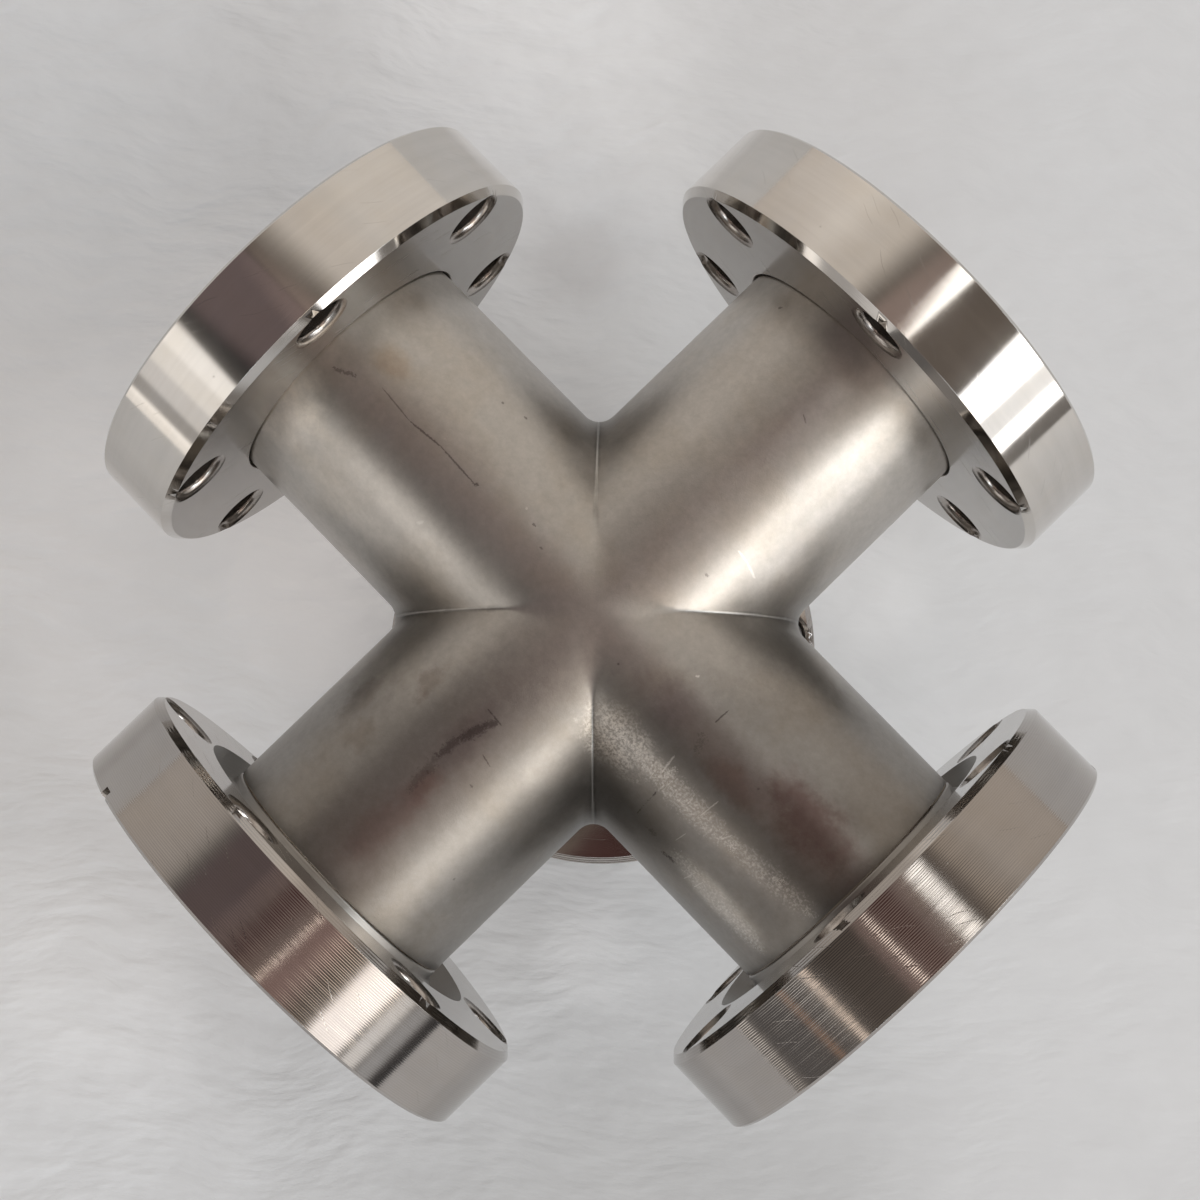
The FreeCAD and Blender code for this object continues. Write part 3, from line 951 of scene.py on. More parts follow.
class MaterialStore:
    """Builds each finish's material once for each port that needs it."""

    def __init__(self, finishes: dict[tuple[Surface, bool], Finish]) -> None:
        """Starts an empty store.

        Args:
            finishes: The finish of each surface, on fixed and on turning flanges.
        """
        self.groups = SurfaceGroups()
        self.finishes = finishes
        self.made: dict[tuple[Surface, Port | None], bpy.types.Material] = {}

    def get(self, surface: Surface, port: Port | None = None) -> bpy.types.Material:
        """Returns the material of a surface at a port, and builds it the first time."""
        key = (surface, port)
        if key not in self.made:
            turning = port is not None and PORTS[port].turning
            finish = self.finishes.get((surface, turning)) or self.finishes[(surface, False)]
            self.made[key] = finish.material(self.groups, port)
        return self.made[key]


@dataclass(frozen=True)
class FacePlace:
    """Where one face of a mesh lies, in millimetres, in a port's frame or from the crossing.

    Attributes:
        middle: The mean of its corners.
        normal: Its normal.
        inner: Least distance of a corner from the port's axis.
        outer: Greatest distance of a corner from the port's axis.
        near: Least height of a corner along the port.
        far: Greatest height of a corner along the port.
        off_hole: Greatest distance of a corner from its nearest bolt hole's axis.
    """

    middle: Vector
    normal: Vector
    inner: float
    outer: float
    near: float
    far: float
    off_hole: float

    @classmethod
    def of(cls, face: bmesh.types.BMFace, frame_of: PortFrame | None) -> "FacePlace":
        """Reads a face's place in a port's frame, or from the crossing where there is none."""
        if frame_of is None:
            corners = [v.co / MM - CROSSING for v in face.verts]
            normal = face.normal.copy()
        else:
            corners = [frame_of.to_port(v.co) for v in face.verts]
            normal = frame_of.axes().transposed() @ face.normal
        radii = [c.xy.length for c in corners]
        heights = [c.z for c in corners]
        off_hole = max(FlangeShape.off_hole(c) for c in corners)
        middle = sum(corners, Vector()) / len(corners)
        return cls(middle, normal, min(radii), max(radii), min(heights), max(heights), off_hole)


@dataclass
class FlangeShape:
    """Sizes of a port's end, mm, by which a flange's faces and edges are told apart."""

    face: float = 62.5
    thickness: float = 12.7
    rim_radius: float = 34.65
    back_chamfer: float = 1.0
    front_chamfer: float = 0.4
    countersink_radius: float = 4.5
    recess_radius: float = 24.15
    bore_radius: float = 19.3

    @property
    def back(self) -> float:
        """Distance of the flange's back face from the crossing."""
        return self.face - self.thickness

    @staticmethod
    def off_hole(place: Vector, circle: float = 29.35) -> float:
        """Returns how far a place in the port's frame is from the nearest bolt hole's axis."""
        step = math.radians(60.0)
        nearest = round(math.atan2(place.y, place.x) / step) * step
        return math.hypot(place.x - circle * math.cos(nearest), place.y - circle * math.sin(nearest))


class DressedCopy:
    """A copy of one CAD node that is cleaned, given softer edges and dressed face by face."""

    def __init__(self, node: str, body: str, slot: str) -> None:
        """Names the node that the copy stands for and its body; the slot is not used."""
        self.node = node
        self.body = body
        self.slot = slot

    def merged(self) -> bmesh.types.BMesh:
        """Returns the node's mesh with its loose triangles joined and flat areas made whole."""
        bm = bmesh.new()
        bm.from_mesh(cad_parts[self.node].data)
        bmesh.ops.remove_doubles(bm, verts=bm.verts, dist=2.0e-6)
        bmesh.ops.dissolve_degenerate(bm, edges=bm.edges, dist=1.0e-7)
        bmesh.ops.dissolve_limit(
            bm, angle_limit=math.radians(0.35), use_dissolve_boundaries=False,
            verts=bm.verts, edges=bm.edges, delimit=set(),
        )
        return bm

    @staticmethod
    def soften(bm: bmesh.types.BMesh, wanted: Callable[[Vector, Vector], float], frame_of: PortFrame) -> None:
        """Rounds chosen edges.

        Args:
            bm: The mesh.
            wanted: Gives the radius in mm for an edge's two ends in the port's frame, or 0.
            frame_of: The port's frame.
        """
        radii: dict[float, list[bmesh.types.BMEdge]] = {}
        for edge in bm.edges:
            if len(edge.link_faces) != 2 or edge.calc_face_angle(0.0) < math.radians(12.0):
                continue
            radius = wanted(*(frame_of.to_port(v.co) for v in edge.verts))
            if radius > 0.0:
                radii.setdefault(radius, []).append(edge)
        for radius, edges in radii.items():
            alive = [e for e in edges if e.is_valid]
            bmesh.ops.bevel(
                bm, geom=alive, offset=radius * MM, offset_type="OFFSET", segments=3,
                profile=0.5, affect="EDGES", clamp_overlap=True, material=-1, loop_slide=True,
            )

    def finish(
        self,
        bm: bmesh.types.BMesh,
        surfaces: list[tuple[Surface, bpy.types.Material]],
        which: Callable[[FacePlace], Surface],
        frame_of: PortFrame | None,
        smooth_deg: float = 32.0,
    ) -> bpy.types.Object:
        """Makes the object and gives each face its material.

        Args:
            bm: The mesh, which is freed.
            surfaces: The surfaces and their materials, in slot order.
            which: Tells the surface of a face.
            frame_of: The port's frame that the faces are read in, or None for the part's.
            smooth_deg: Edges sharper than this stay sharp.

        Returns:
            The object, which rides on its body and stands for its node.
        """
        order = [surface for surface, _ in surfaces]
        for face in bm.faces:
            face.material_index = order.index(which(FacePlace.of(face, frame_of)))
            face.smooth = True
        mesh = bpy.data.meshes.new(self.node + "_dressed")
        bm.to_mesh(mesh)
        bm.free()
        for _, material in surfaces:
            mesh.materials.append(material)
        mesh.set_sharp_from_angle(angle=math.radians(smooth_deg))
        made = bpy.data.objects.new(self.node + "_dressed", mesh)
        bpy.context.scene.collection.objects.link(made)
        weighted = made.modifiers.new("flat_faces", "WEIGHTED_NORMAL")
        weighted.keep_sharp = True
        weighted.weight = 80
        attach(made, self.body)
        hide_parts(self.node)
        LOG.info("%s: %d faces, stands for %s", made.name, len(mesh.polygons), self.node)
        return made


@dataclass
class CrossBody:
    """The blended body of five arms, blasted outside and pickled inside.

    Attributes:
        tube_radius: Outer radius of the arms, mm.
        wall: Wall of the arms, mm.
        weld_end: Where a turning port's arm meets its hub, mm from the crossing.
        fixed_end: Where a fixed port's arm ends inside its flange, mm from the crossing; not used.
    """

    tube_radius: float = 19.05
    wall: float = 1.65
    weld_end: float = 49.6
    fixed_end: float = 59.1

    def surface(self, face: FacePlace) -> Surface:
        """Tells the outside of the arms from their inside and their welded ends."""
        place = face.middle
        reach = max(abs(place.x), abs(place.y), abs(place.z))
        off_axis = self._off_axis(place)
        if reach > self.weld_end - 0.35 and off_axis > self.tube_radius - self.wall - 0.1 and not self._in_fixed_arm(place):
            return Surface.WELD
        return Surface.BORE if off_axis < self.tube_radius - self.wall * 0.6 else Surface.BLASTED

    def _off_axis(self, place: Vector) -> float:
        """Returns the distance from the nearest arm's axis."""
        gaps = [math.hypot(place.y, place.z), math.hypot(place.x, place.z)]
        if place.z < 0.0:
            gaps.append(math.hypot(place.x, place.y))
        return min(gaps)

    @staticmethod
    def _in_fixed_arm(place: Vector) -> bool:
        """Tells whether a place lies on one of the two arms with welded-on flanges."""
        return place.x < -20.0 or place.y > 20.0

    def build(self, store: MaterialStore) -> bpy.types.Object:
        """Builds the dressed body.

        Args:
            store: The materials.

        Returns:
            The body's object.
        """
        copy = DressedCopy("cross_body", "fitting", "body_steel")
        bm = bmesh.new()
        bm.from_mesh(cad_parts["cross_body"].data)
        bmesh.ops.remove_doubles(bm, verts=bm.verts, dist=2.0e-6)
        surfaces = [(s, store.get(s)) for s in (Surface.BLASTED, Surface.BORE, Surface.WELD)]
        return copy.finish(bm, surfaces, self.surface, None, smooth_deg=40.0)


@dataclass
class Flange:
    """A port's one-piece flange: turned rim, faced sides, drilled holes and a knife-edge seal.

    Attributes:
        port: The port that it closes.
        shape: Its sizes.
        edge: Radius of its softened outer edges, mm.
    """

    port: Port
    shape: FlangeShape = field(default_factory=FlangeShape)
    edge: float = 0.12
    prefix: str = "fixed_flange_"
    body: str = "fitting"

    def surface(self, face: FacePlace) -> Surface:
        """Tells which surface a face belongs to."""
        s = self.shape
        flat = abs(face.normal.z) > 0.9
        if face.off_hole < s.countersink_radius + 0.05 and not flat:
            return Surface.DRILLED
        if face.inner > s.rim_radius - s.back_chamfer - 0.06:
            return Surface.RIM
        if flat and (face.far < s.back + 0.1 or face.inner > s.recess_radius - 0.1):
            return Surface.FACED
        if face.far > s.face - 2.3 and face.inner > s.bore_radius and face.outer < s.recess_radius + 0.6:
            return Surface.SEAL
        if face.outer < s.bore_radius + 0.3:
            return Surface.WELD if face.far > s.face - 3.6 and face.near > s.face - 4.2 else Surface.BORE
        return Surface.DRILLED

    def softened(self, first: Vector, second: Vector) -> float:
        """Returns the radius for an edge, given its ends in the port's frame."""
        s = self.shape
        radii = (first.xy.length, second.xy.length)
        if abs(radii[0] - radii[1]) > 0.05 or abs(first.z - second.z) > 0.05:
            return 0.0
        radius = radii[0]
        for ring, at in (
            (s.rim_radius, s.back + s.back_chamfer),
            (s.rim_radius - s.back_chamfer, s.back),
            (s.rim_radius, s.face - s.front_chamfer),
            (s.rim_radius - s.front_chamfer, s.face),
        ):
            if abs(radius - ring) < 0.06 and abs(first.z - at) < 0.06:
                return self.edge
        return 0.0

    def build(self, store: MaterialStore) -> bpy.types.Object:
        """Builds the dressed flange.

        Args:
            store: The materials.

        Returns:
            The flange's object.
        """
        copy = DressedCopy(self.prefix + self.port.value, self.body, "flange_steel")
        bm = copy.merged()
        copy.soften(bm, self.softened, PORTS[self.port])
        kinds = (
            Surface.RIM, Surface.FACED, Surface.DRILLED, Surface.SEAL, Surface.BORE, Surface.WELD, Surface.NECK,
        )
        surfaces = [(kind, store.get(kind, self.port)) for kind in kinds]
        return copy.finish(bm, surfaces, self.surface, PORTS[self.port])


@dataclass
class BoltRing(Flange):
    """The bolt ring of a turning flange, which slips over the weld hub's boss."""

    prefix: str = "bolt_ring_"

    def surface(self, face: FacePlace) -> Surface:
        """Tells which surface a face belongs to."""
        s = self.shape
        flat = abs(face.normal.z) > 0.9
        if face.off_hole < s.countersink_radius + 0.05 and not flat:
            return Surface.DRILLED
        if face.inner > s.rim_radius - s.back_chamfer - 0.06:
            return Surface.RIM
        if flat and (face.far < s.back + 0.1 or face.outer > s.rim_radius - 1.2):
            return Surface.FACED
        # The ring's bore and recess take the dark neck finish, which is painted shade in the recess behind the ring.
        return Surface.NECK if face.outer < 26.2 else Surface.DRILLED


@dataclass
class WeldHub(Flange):
    """The hub of a turning flange: knife edge, head, boss and the neck that is welded on."""

    prefix: str = "weld_hub_"
    neck_radius: float = 19.15
    bore: float = 17.4

    def surface(self, face: FacePlace) -> Surface:
        """Tells which surface a face belongs to."""
        flat = abs(face.normal.z) > 0.5
        if face.outer < self.bore + 0.1 and not flat:
            return Surface.BORE
        if face.far > self.shape.face - 2.3 and face.outer < self.shape.recess_radius + 1.3:
            return Surface.SEAL
        return Surface.NECK

    def softened(self, first: Vector, second: Vector) -> float:
        """Returns the radius for an edge, given its ends in the port's frame."""
        radius = (first.xy.length + second.xy.length) / 2.0
        level = abs(first.z - second.z) < 0.05
        return 0.08 if level and abs(radius - 25.3) < 0.06 and first.z > self.shape.face - 0.1 else 0.0


@dataclass
class RetainingWire:
    """The split wire in the hub's groove, bent from round wire with rounded ends.

    Attributes:
        port: The port that it belongs to.
        ring_radius: Radius of the wire's middle line, mm.
        wire_radius: Radius of the wire, mm.
        along: Distance of the wire from the crossing, mm.
        gap_deg: The gap between its ends.
    """

    port: Port
    ring_radius: float = 20.8
    wire_radius: float = 0.6
    along: float = 53.48
    gap_deg: float = 14.0

    def build(self, store: MaterialStore) -> bpy.types.Object:
        """Builds the wire by turning a circle about the port.

        Args:
            store: The materials.

        Returns:
            The wire's object.
        """
        node = "retaining_wire_" + self.port.value
        bm = bmesh.new()
        made = bmesh.ops.create_circle(bm, cap_ends=True, radius=self.wire_radius, segments=16)
        bmesh.ops.rotate(bm, verts=made["verts"], cent=(0, 0, 0), matrix=Matrix.Rotation(math.radians(90.0), 3, "X"))
        bmesh.ops.translate(bm, verts=made["verts"], vec=(self.ring_radius, 0.0, self.along))
        bmesh.ops.spin(
            bm, geom=bm.verts[:] + bm.edges[:] + bm.faces[:], cent=(0.0, 0.0, 0.0), axis=(0.0, 0.0, 1.0),
            angle=math.radians(360.0 - self.gap_deg), steps=96, use_merge=False, use_duplicate=False,
        )
        bmesh.ops.remove_doubles(bm, verts=bm.verts, dist=1.0e-4)
        bmesh.ops.recalc_face_normals(bm, faces=bm.faces)
        ends = [e for f in bm.faces if len(f.verts) > 4 for e in f.edges]
        bmesh.ops.bevel(
            bm, geom=ends, offset=0.15, offset_type="OFFSET", segments=2, profile=0.5,
            affect="EDGES", clamp_overlap=True, material=-1,
        )
        bm.transform(PORTS[self.port].to_part())
        for face in bm.faces:
            face.smooth = len(face.verts) <= 4
        mesh = bpy.data.meshes.new(node + "_bent")
        bm.to_mesh(mesh)
        bm.free()
        mesh.materials.append(store.get(Surface.WIRE, self.port))
        wire = bpy.data.objects.new(node + "_bent", mesh)
        bpy.context.scene.collection.objects.link(wire)
        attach(wire, "fitting")
        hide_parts(node)
        LOG.info("%s: %d faces, stands for %s", wire.name, len(mesh.polygons), node)
        return wire


@dataclass(frozen=True)
class SkyPanel:
    """A soft panel of light in the studio's sky; the panels add up.

    Attributes:
        azimuth: Where its middle lies about +Z from +X, in degrees.
        height: How high its middle lies over the horizon, in degrees.
        half_width: Half its width, in degrees of azimuth.
        half_height: Half its height, in degrees.
        soft: Width of its soft border, in degrees; half of it lies inside the panel.
        light: Its colour and strength.
    """

    azimuth: float
    height: float
    half_width: float
    half_height: float
    soft: float
    light: Colour


@dataclass
class Studio:
    """The board, the sky of soft panels and the camera.

    Attributes:
        eye: The camera's place.
        right: Where the picture's right side points.
        down: Where the picture's lower side points.
        lens: Focal length on a 36 mm sensor.
        open_sky: Light of the sky between the panels.
        backdrop: What the camera sees past the board.
        panels: The soft panels.
    """

    eye: Triple = (0.0234, -0.0152, 0.3593)
    right: Triple = (0.6968, 0.7171, -0.0166)
    down: Triple = (0.7122, -0.6945, -0.1020)
    lens: float = 63.97
    open_sky: Colour = (0.03, 0.03, 0.03)
    backdrop: Colour = (0.67, 0.665, 0.65)
    panels: tuple[SkyPanel, ...] = ()

    def build_board(self, store: MaterialStore, finish: Finish) -> bpy.types.Object:
        """Builds the board under the part."""
        bm = bmesh.new()
        bmesh.ops.create_grid(bm, x_segments=8, y_segments=8, size=3.0)
        mesh = bpy.data.meshes.new("board")
        bm.to_mesh(mesh)
        bm.free()
        board = bpy.data.objects.new("board", mesh)
        bpy.context.scene.collection.objects.link(board)
        mesh.materials.append(finish.material(store.groups, None))
        return board

    def build_camera(self) -> bpy.types.Object:
        """Builds the camera at the photograph's angle."""
        data = bpy.data.cameras.new("camera")
        data.sensor_width = 36.0
        data.lens = self.lens
        data.clip_start = 0.01
        data.clip_end = 20.0
        camera = bpy.data.objects.new("camera", data)
        bpy.context.scene.collection.objects.link(camera)
        right = Vector(self.right).normalized()
        down = (Vector(self.down) - right * Vector(self.down).dot(right)).normalized()
        turn = Matrix((right, -down, right.cross(-down))).transposed()
        camera.matrix_world = Matrix.Translation(self.eye) @ turn.to_4x4()
        bpy.context.scene.camera = camera
        return camera

    @staticmethod
    def panel_group() -> bpy.types.NodeTree:
        """Returns the group that gives how much of a panel a direction meets."""
        g = GroupTree(
            "sky_panel",
            {
                "Azimuth Here": 0.0, "Height Here": 0.0, "Azimuth": 0.0, "Height": 0.0,
                "Half Width": 0.3, "Half Height": 0.2, "Soft": 0.1,
            },
            {"Mask": "NodeSocketFloat"},
        )
        off = g.math("SUBTRACT", g.given["Azimuth Here"], g.given["Azimuth"])
        across = g.math("ABSOLUTE", g.math("WRAP", off, math.pi, -math.pi))
        up = g.math("ABSOLUTE", g.math("SUBTRACT", g.given["Height Here"], g.given["Height"]))
        inside = g.math("MULTIPLY", g.given["Soft"], -0.5)
        outside = g.math("MULTIPLY", g.given["Soft"], 0.5)
        sides = g.remap(g.math("SUBTRACT", across, g.given["Half Width"]), outside, inside)
        ends = g.remap(g.math("SUBTRACT", up, g.given["Half Height"]), outside, inside)
        return g.give(Mask=g.math("MULTIPLY", sides, ends))

    def build_sky(self) -> None:
        """Builds the world's light."""
        world = bpy.data.worlds.new("studio_sky")
        world.use_nodes = True
        bpy.context.scene.world = world
        tree = ShaderTree(world.node_tree)
        direction = tree.node("ShaderNodeTexCoord").outputs["Generated"]
        x, y, z = tree.split(tree.vector("NORMALIZE", direction))
        here = {"Azimuth_Here": tree.math("ARCTAN2", y, x), "Height_Here": tree.math("ARCSINE", z)}
        group = self.panel_group()
        light = tree.join(*self.open_sky)
        for panel in self.panels:
            mask = tree.use(
                group, Azimuth=math.radians(panel.azimuth), Height=math.radians(panel.height),
                Half_Width=math.radians(panel.half_width), Half_Height=math.radians(panel.half_height),
                Soft=math.radians(panel.soft), **here,
            ).outputs[0]
            light = tree.vector("MULTIPLY_ADD", tree.join(*panel.light), tree.join(mask, mask, mask), light)
        ray = tree.node("ShaderNodeLightPath")
        seen = tree.mix(ray.outputs["Is Camera Ray"], light, self.backdrop)
        background = world.node_tree.nodes["Background"]
        tree.feed(background.inputs["Color"], seen)
        background.inputs["Strength"].default_value = 1.0


MARKS: tuple[Mark, ...] = (
    Mark((-40.8, 0.4, 19.0), (-34.7, -0.1, 19.0), 0.16, 0.3, -0.55),
    Mark((-34.9, -0.1, 19.0), (-29.5, 0.5, 19.0), 0.22, 0.4, -0.7),
    Mark((-29.7, 0.5, 19.0), (-22.7, 0.2, 19.0), 0.2, 0.4, -0.65),
    Mark((-23.0, 0.1, 19.0), (-22.3, 0.5, 19.0), 0.35, 0.5, -0.7),
    Mark((-47.4, -2.6, 18.9), (-44.3, -1.0, 19.0), 0.45, 0.8, -0.5),
    Mark((-25.4, 11.4, 15.2), (-24.9, 11.6, 15.1), 0.3, 0.5, -0.6),
    Mark((-13.7, 2.0, 18.9), (-13.2, 2.1, 18.9), 0.28, 0.5, -0.6),
    Mark((-10.8, 0.6, 19.0), (-10.3, 0.6, 19.0), 0.22, 0.5, -0.5),
    Mark((-24.8, -8.9, 16.9), (-24.2, -8.0, 17.3), 0.3, 0.5, 0.5),
    Mark((7.6, 19.1, 17.5), (9.6, 18.9, 16.4), 0.22, 0.4, 0.6),
    Mark((9.6, 18.9, 16.4), (11.8, 18.3, 15.0), 0.26, 0.4, 0.6),
    Mark((0.8, 37.7, 19.0), (2.0, 37.1, 18.9), 0.16, 0.4, -0.5),
    Mark((-12.3, 46.4, 14.6), (-11.9, 46.7, 14.9), 0.3, 0.5, -0.6),
    Mark((6.8, 13.7, 17.8), (7.4, 13.9, 17.6), 0.3, 0.6, -0.5),
    # Painted glint: a small bright spot on the right arm's top near the crown.
    Mark((15.6, 3.3, 18.7), (16.0, 3.7, 18.7), 0.2, 0.5, 0.8),
    Mark((-0.2, -19.1, 19.0), (2.6, -19.3, 18.9), 0.18, 0.5, -0.75),
    Mark((2.0, -19.4, 18.9), (1.2, -20.8, 19.0), 0.8, 0.5, -0.7),
    Mark((1.3, -20.4, 19.0), (0.0, -24.6, 19.0), 1.05, 0.55, -0.75),
    Mark((0.0, -24.2, 19.0), (-0.3, -28.2, 19.0), 0.95, 0.6, -0.6),
    Mark((-0.3, -27.6, 19.0), (0.2, -34.0, 19.0), 1.0, 0.8, -0.35),
    Mark((3.6, -23.7, 18.7), (5.4, -24.1, 18.2), 0.16, 0.4, -0.7),
    Mark((5.2, -27.6, 18.3), (5.7, -27.6, 18.2), 0.2, 0.5, -0.6),
    Mark((0.0, -30.3, 19.0), (0.5, -30.5, 19.0), 0.25, 0.6, -0.6),
    Mark((-1.0, -47.7, 19.0), (9.0, -47.9, 16.8), 0.1, 0.3, -0.45),
    Mark((-1.0, -48.4, 19.0), (9.0, -48.5, 16.8), 0.1, 0.3, -0.5),
    Mark((-0.4, -49.0, 19.0), (9.5, -49.1, 16.5), 0.1, 0.3, -0.4),
    Mark((21.7, 0.9, 19.0), (21.8, 3.4, 18.8), 0.17, 0.4, -0.8),
    Mark((22.6, -3.9, 18.7), (22.0, -1.2, 19.0), 0.75, 1.2, -0.35),
    Mark((22.8, -10.8, 15.7), (23.0, -14.5, 12.3), 0.22, 0.5, -0.85),
    Mark((25.4, -14.8, 12.0), (27.2, -14.9, 11.9), 0.6, 1.2, -0.4),
    Mark((28.7, -15.7, 10.8), (31.3, -15.5, 11.0), 0.42, 1.2, -0.8),
    Mark((29.1, -13.4, 13.5), (29.4, -11.8, 15.0), 0.1, 0.3, 0.45),
    Mark((21.5, -8.7, 17.0), (21.1, -5.8, 18.1), 0.2, 0.5, 0.65),
    Mark((22.4, -8.6, 17.0), (22.3, -6.7, 17.9), 0.6, 1.4, 0.6),
    Mark((29.0, -8.9, 16.8), (29.3, -5.8, 18.2), 0.16, 0.4, 0.6),
    Mark((33.0, -9.2, 16.7), (33.7, -7.7, 17.4), 0.14, 0.4, 0.5),
    Mark((34.3, -9.0, 16.8), (35.0, -8.4, 17.1), 0.7, 1.4, 0.65),
    Mark((41.2, -8.0, 17.3), (42.6, -7.3, 17.6), 0.75, 1.5, 0.5),
    Mark((33.6, -16.1, 10.2), (34.0, -14.4, 12.5), 0.15, 0.4, 0.5),
    Mark((35.3, -15.9, 10.5), (35.6, -14.6, 12.2), 0.15, 0.4, 0.5),
)

SCRAPES: tuple[Mark, ...] = (
    Mark((17.5, -9.0, 16.8), (34.0, -8.8, 16.9), 2.7, 0.35, 0.9),
    Mark((33.0, -8.6, 17.0), (48.5, -7.4, 17.6), 2.2, 0.4, 0.7),
    Mark((30.0, -14.7, 12.1), (47.5, -15.3, 11.3), 2.6, 0.35, 0.8),
)

# Stains and painted light on the body: painted highlights, painted shade and painted reflections, each marked below.
PATCHES: tuple[Patch, ...] = (
    # Painted reflection: reddish and purplish darker tints along the front arm's top, like a dark reddish shape
    # overhead.
    Patch((1.2, -38.5, 18.9), (3.6, 9.5, 4.0), 0.7, (0.90, 0.80, 0.79)),
    Patch((1.4, -32.0, 18.9), (2.6, 4.5, 3.0), 0.8, (0.86, 0.74, 0.73)),
    Patch((0.6, -24.0, 19.0), (3.4, 7.5, 3.5), 0.7, (0.80, 0.76, 0.78)),
    # Stains beside the scuffs on the front arm.
    Patch((-8.6, -21.8, 17.0), (2.0, 4.2, 3.0), 1.3, (0.80, 0.77, 0.75)),
    Patch((-7.6, -24.0, 17.4), (1.4, 2.0, 2.0), 1.6, (0.80, 0.76, 0.74)),
    Patch((-13.5, -30.5, 13.4), (3.0, 5.5, 4.0), 1.0, (0.80, 0.77, 0.75)),
    Patch((-9.5, -33.5, 16.4), (3.0, 3.5, 3.0), 1.0, (0.88, 0.85, 0.82)),
    # Painted shade along the front arm's lower flanks.
    Patch((-17.0, -27.0, 8.0), (3.0, 10.0, 6.0), 0.3, (0.84, 0.84, 0.84)),
    Patch((15.0, -33.0, 11.5), (3.0, 12.0, 6.0), 0.3, (0.86, 0.86, 0.86)),
    # Painted highlight on the front arm's right flank near the crown.
    Patch((10.5, -19.5, 15.8), (4.0, 5.5, 5.0), 0.4, (1.18, 1.18, 1.18)),
    # Painted reflection: reddish and purplish darker tints on the right arm's top and near the crown.
    Patch((29.0, -3.0, 18.8), (6.5, 3.0, 3.0), 0.8, (0.82, 0.72, 0.70)),
    Patch((40.0, 0.6, 19.0), (10.5, 5.6, 5.0), 0.7, (0.68, 0.57, 0.56)),
    Patch((36.0, 2.0, 19.0), (8.0, 3.6, 4.0), 0.8, (0.84, 0.78, 0.78)),
    Patch((16.6, -1.5, 19.0), (5.0, 4.5, 4.0), 0.6, (0.88, 0.85, 0.87)),
    # Painted shade along the right arm's lower rear flank.
    Patch((28.0, 15.5, 11.0), (12.0, 2.6, 6.0), 0.3, (0.86, 0.86, 0.86)),
    # Painted highlights along the right arm's front flank, over the scrape bands.
    Patch((38.5, -14.9, 11.9), (12.0, 2.8, 3.6), 0.3, (1.65, 1.62, 1.58)),
    Patch((31.0, -8.9, 16.9), (17.0, 2.6, 3.0), 0.5, (1.32, 1.29, 1.27)),
    # Stains on the left arm's top.
    Patch((-42.4, 3.7, 18.7), (4.0, 3.0, 3.0), 0.6, (0.92, 0.84, 0.76)),
    Patch((-30.0, 3.0, 18.9), (14.0, 3.5, 4.0), 0.5, (0.95, 0.93, 0.92)),
    # Painted highlights on the left arm's front flank, brightest near its flange.
    Patch((-50.0, -10.5, 15.8), (9.0, 8.5, 9.0), 0.3, (1.85, 1.83, 1.80)),
    Patch((-27.0, -8.6, 17.0), (16.0, 3.6, 5.0), 0.4, (1.20, 1.20, 1.20)),
    # Painted shade along the left arm's lower front flank.
    Patch((-30.0, -16.5, 9.5), (12.0, 2.6, 5.0), 0.3, (0.84, 0.84, 0.84)),
    # Painted reflection: a purplish darker tint along the rear arm's top.
    Patch((1.0, 34.0, 19.0), (4.0, 14.0, 4.0), 0.5, (0.90, 0.88, 0.89)),
    # Painted highlight on the rear arm's right flank, painted shade along it above, and a painted highlight in the
    # corner between the left and rear arms.
    Patch((14.5, 20.0, 12.5), (4.0, 7.0, 7.0), 0.3, (1.40, 1.40, 1.40)),
    Patch((9.6, 29.0, 16.4), (2.4, 12.0, 4.0), 0.3, (0.86, 0.86, 0.86)),
    Patch((-15.0, 15.0, 13.0), (4.0, 4.0, 7.0), 0.3, (1.30, 1.30, 1.30)),
)

# Painted light and shade on the board: the paler areas are painted light that thins the part's shadow, mostly between
# the left and front arms; the darker ones are painted shade over the front-right corner and a painted shadow beside
# the left flange, toward the rear flange.
BOARD_TONES: tuple[Patch, ...] = (
    Patch((78.0, -78.0, 0.0), (88.0, 88.0, 50.0), 0.4, (0.82, 0.82, 0.815)),
    Patch((-58.0, -40.0, 0.0), (78.0, 62.0, 50.0), 0.3, (1.24, 1.23, 1.225)),
    Patch((-40.0, -25.0, 0.0), (28.0, 26.0, 50.0), 0.2, (1.22, 1.21, 1.205)),
    Patch((-88.0, 66.0, 0.0), (48.0, 42.0, 50.0), 0.4, (1.16, 1.16, 1.16)),
    Patch((-52.0, 43.0, 0.0), (13.0, 11.0, 50.0), 0.4, (0.88, 0.87, 0.865)),
    Patch((24.0, 39.0, 0.0), (16.0, 16.0, 50.0), 0.3, (1.14, 1.14, 1.14)),
    Patch((-23.0, -100.0, 0.0), (32.0, 24.0, 50.0), 0.5, (1.14, 1.14, 1.14)),
    Patch((34.0, -36.0, 0.0), (12.0, 12.0, 50.0), 0.3, (1.10, 1.10, 1.10)),
)

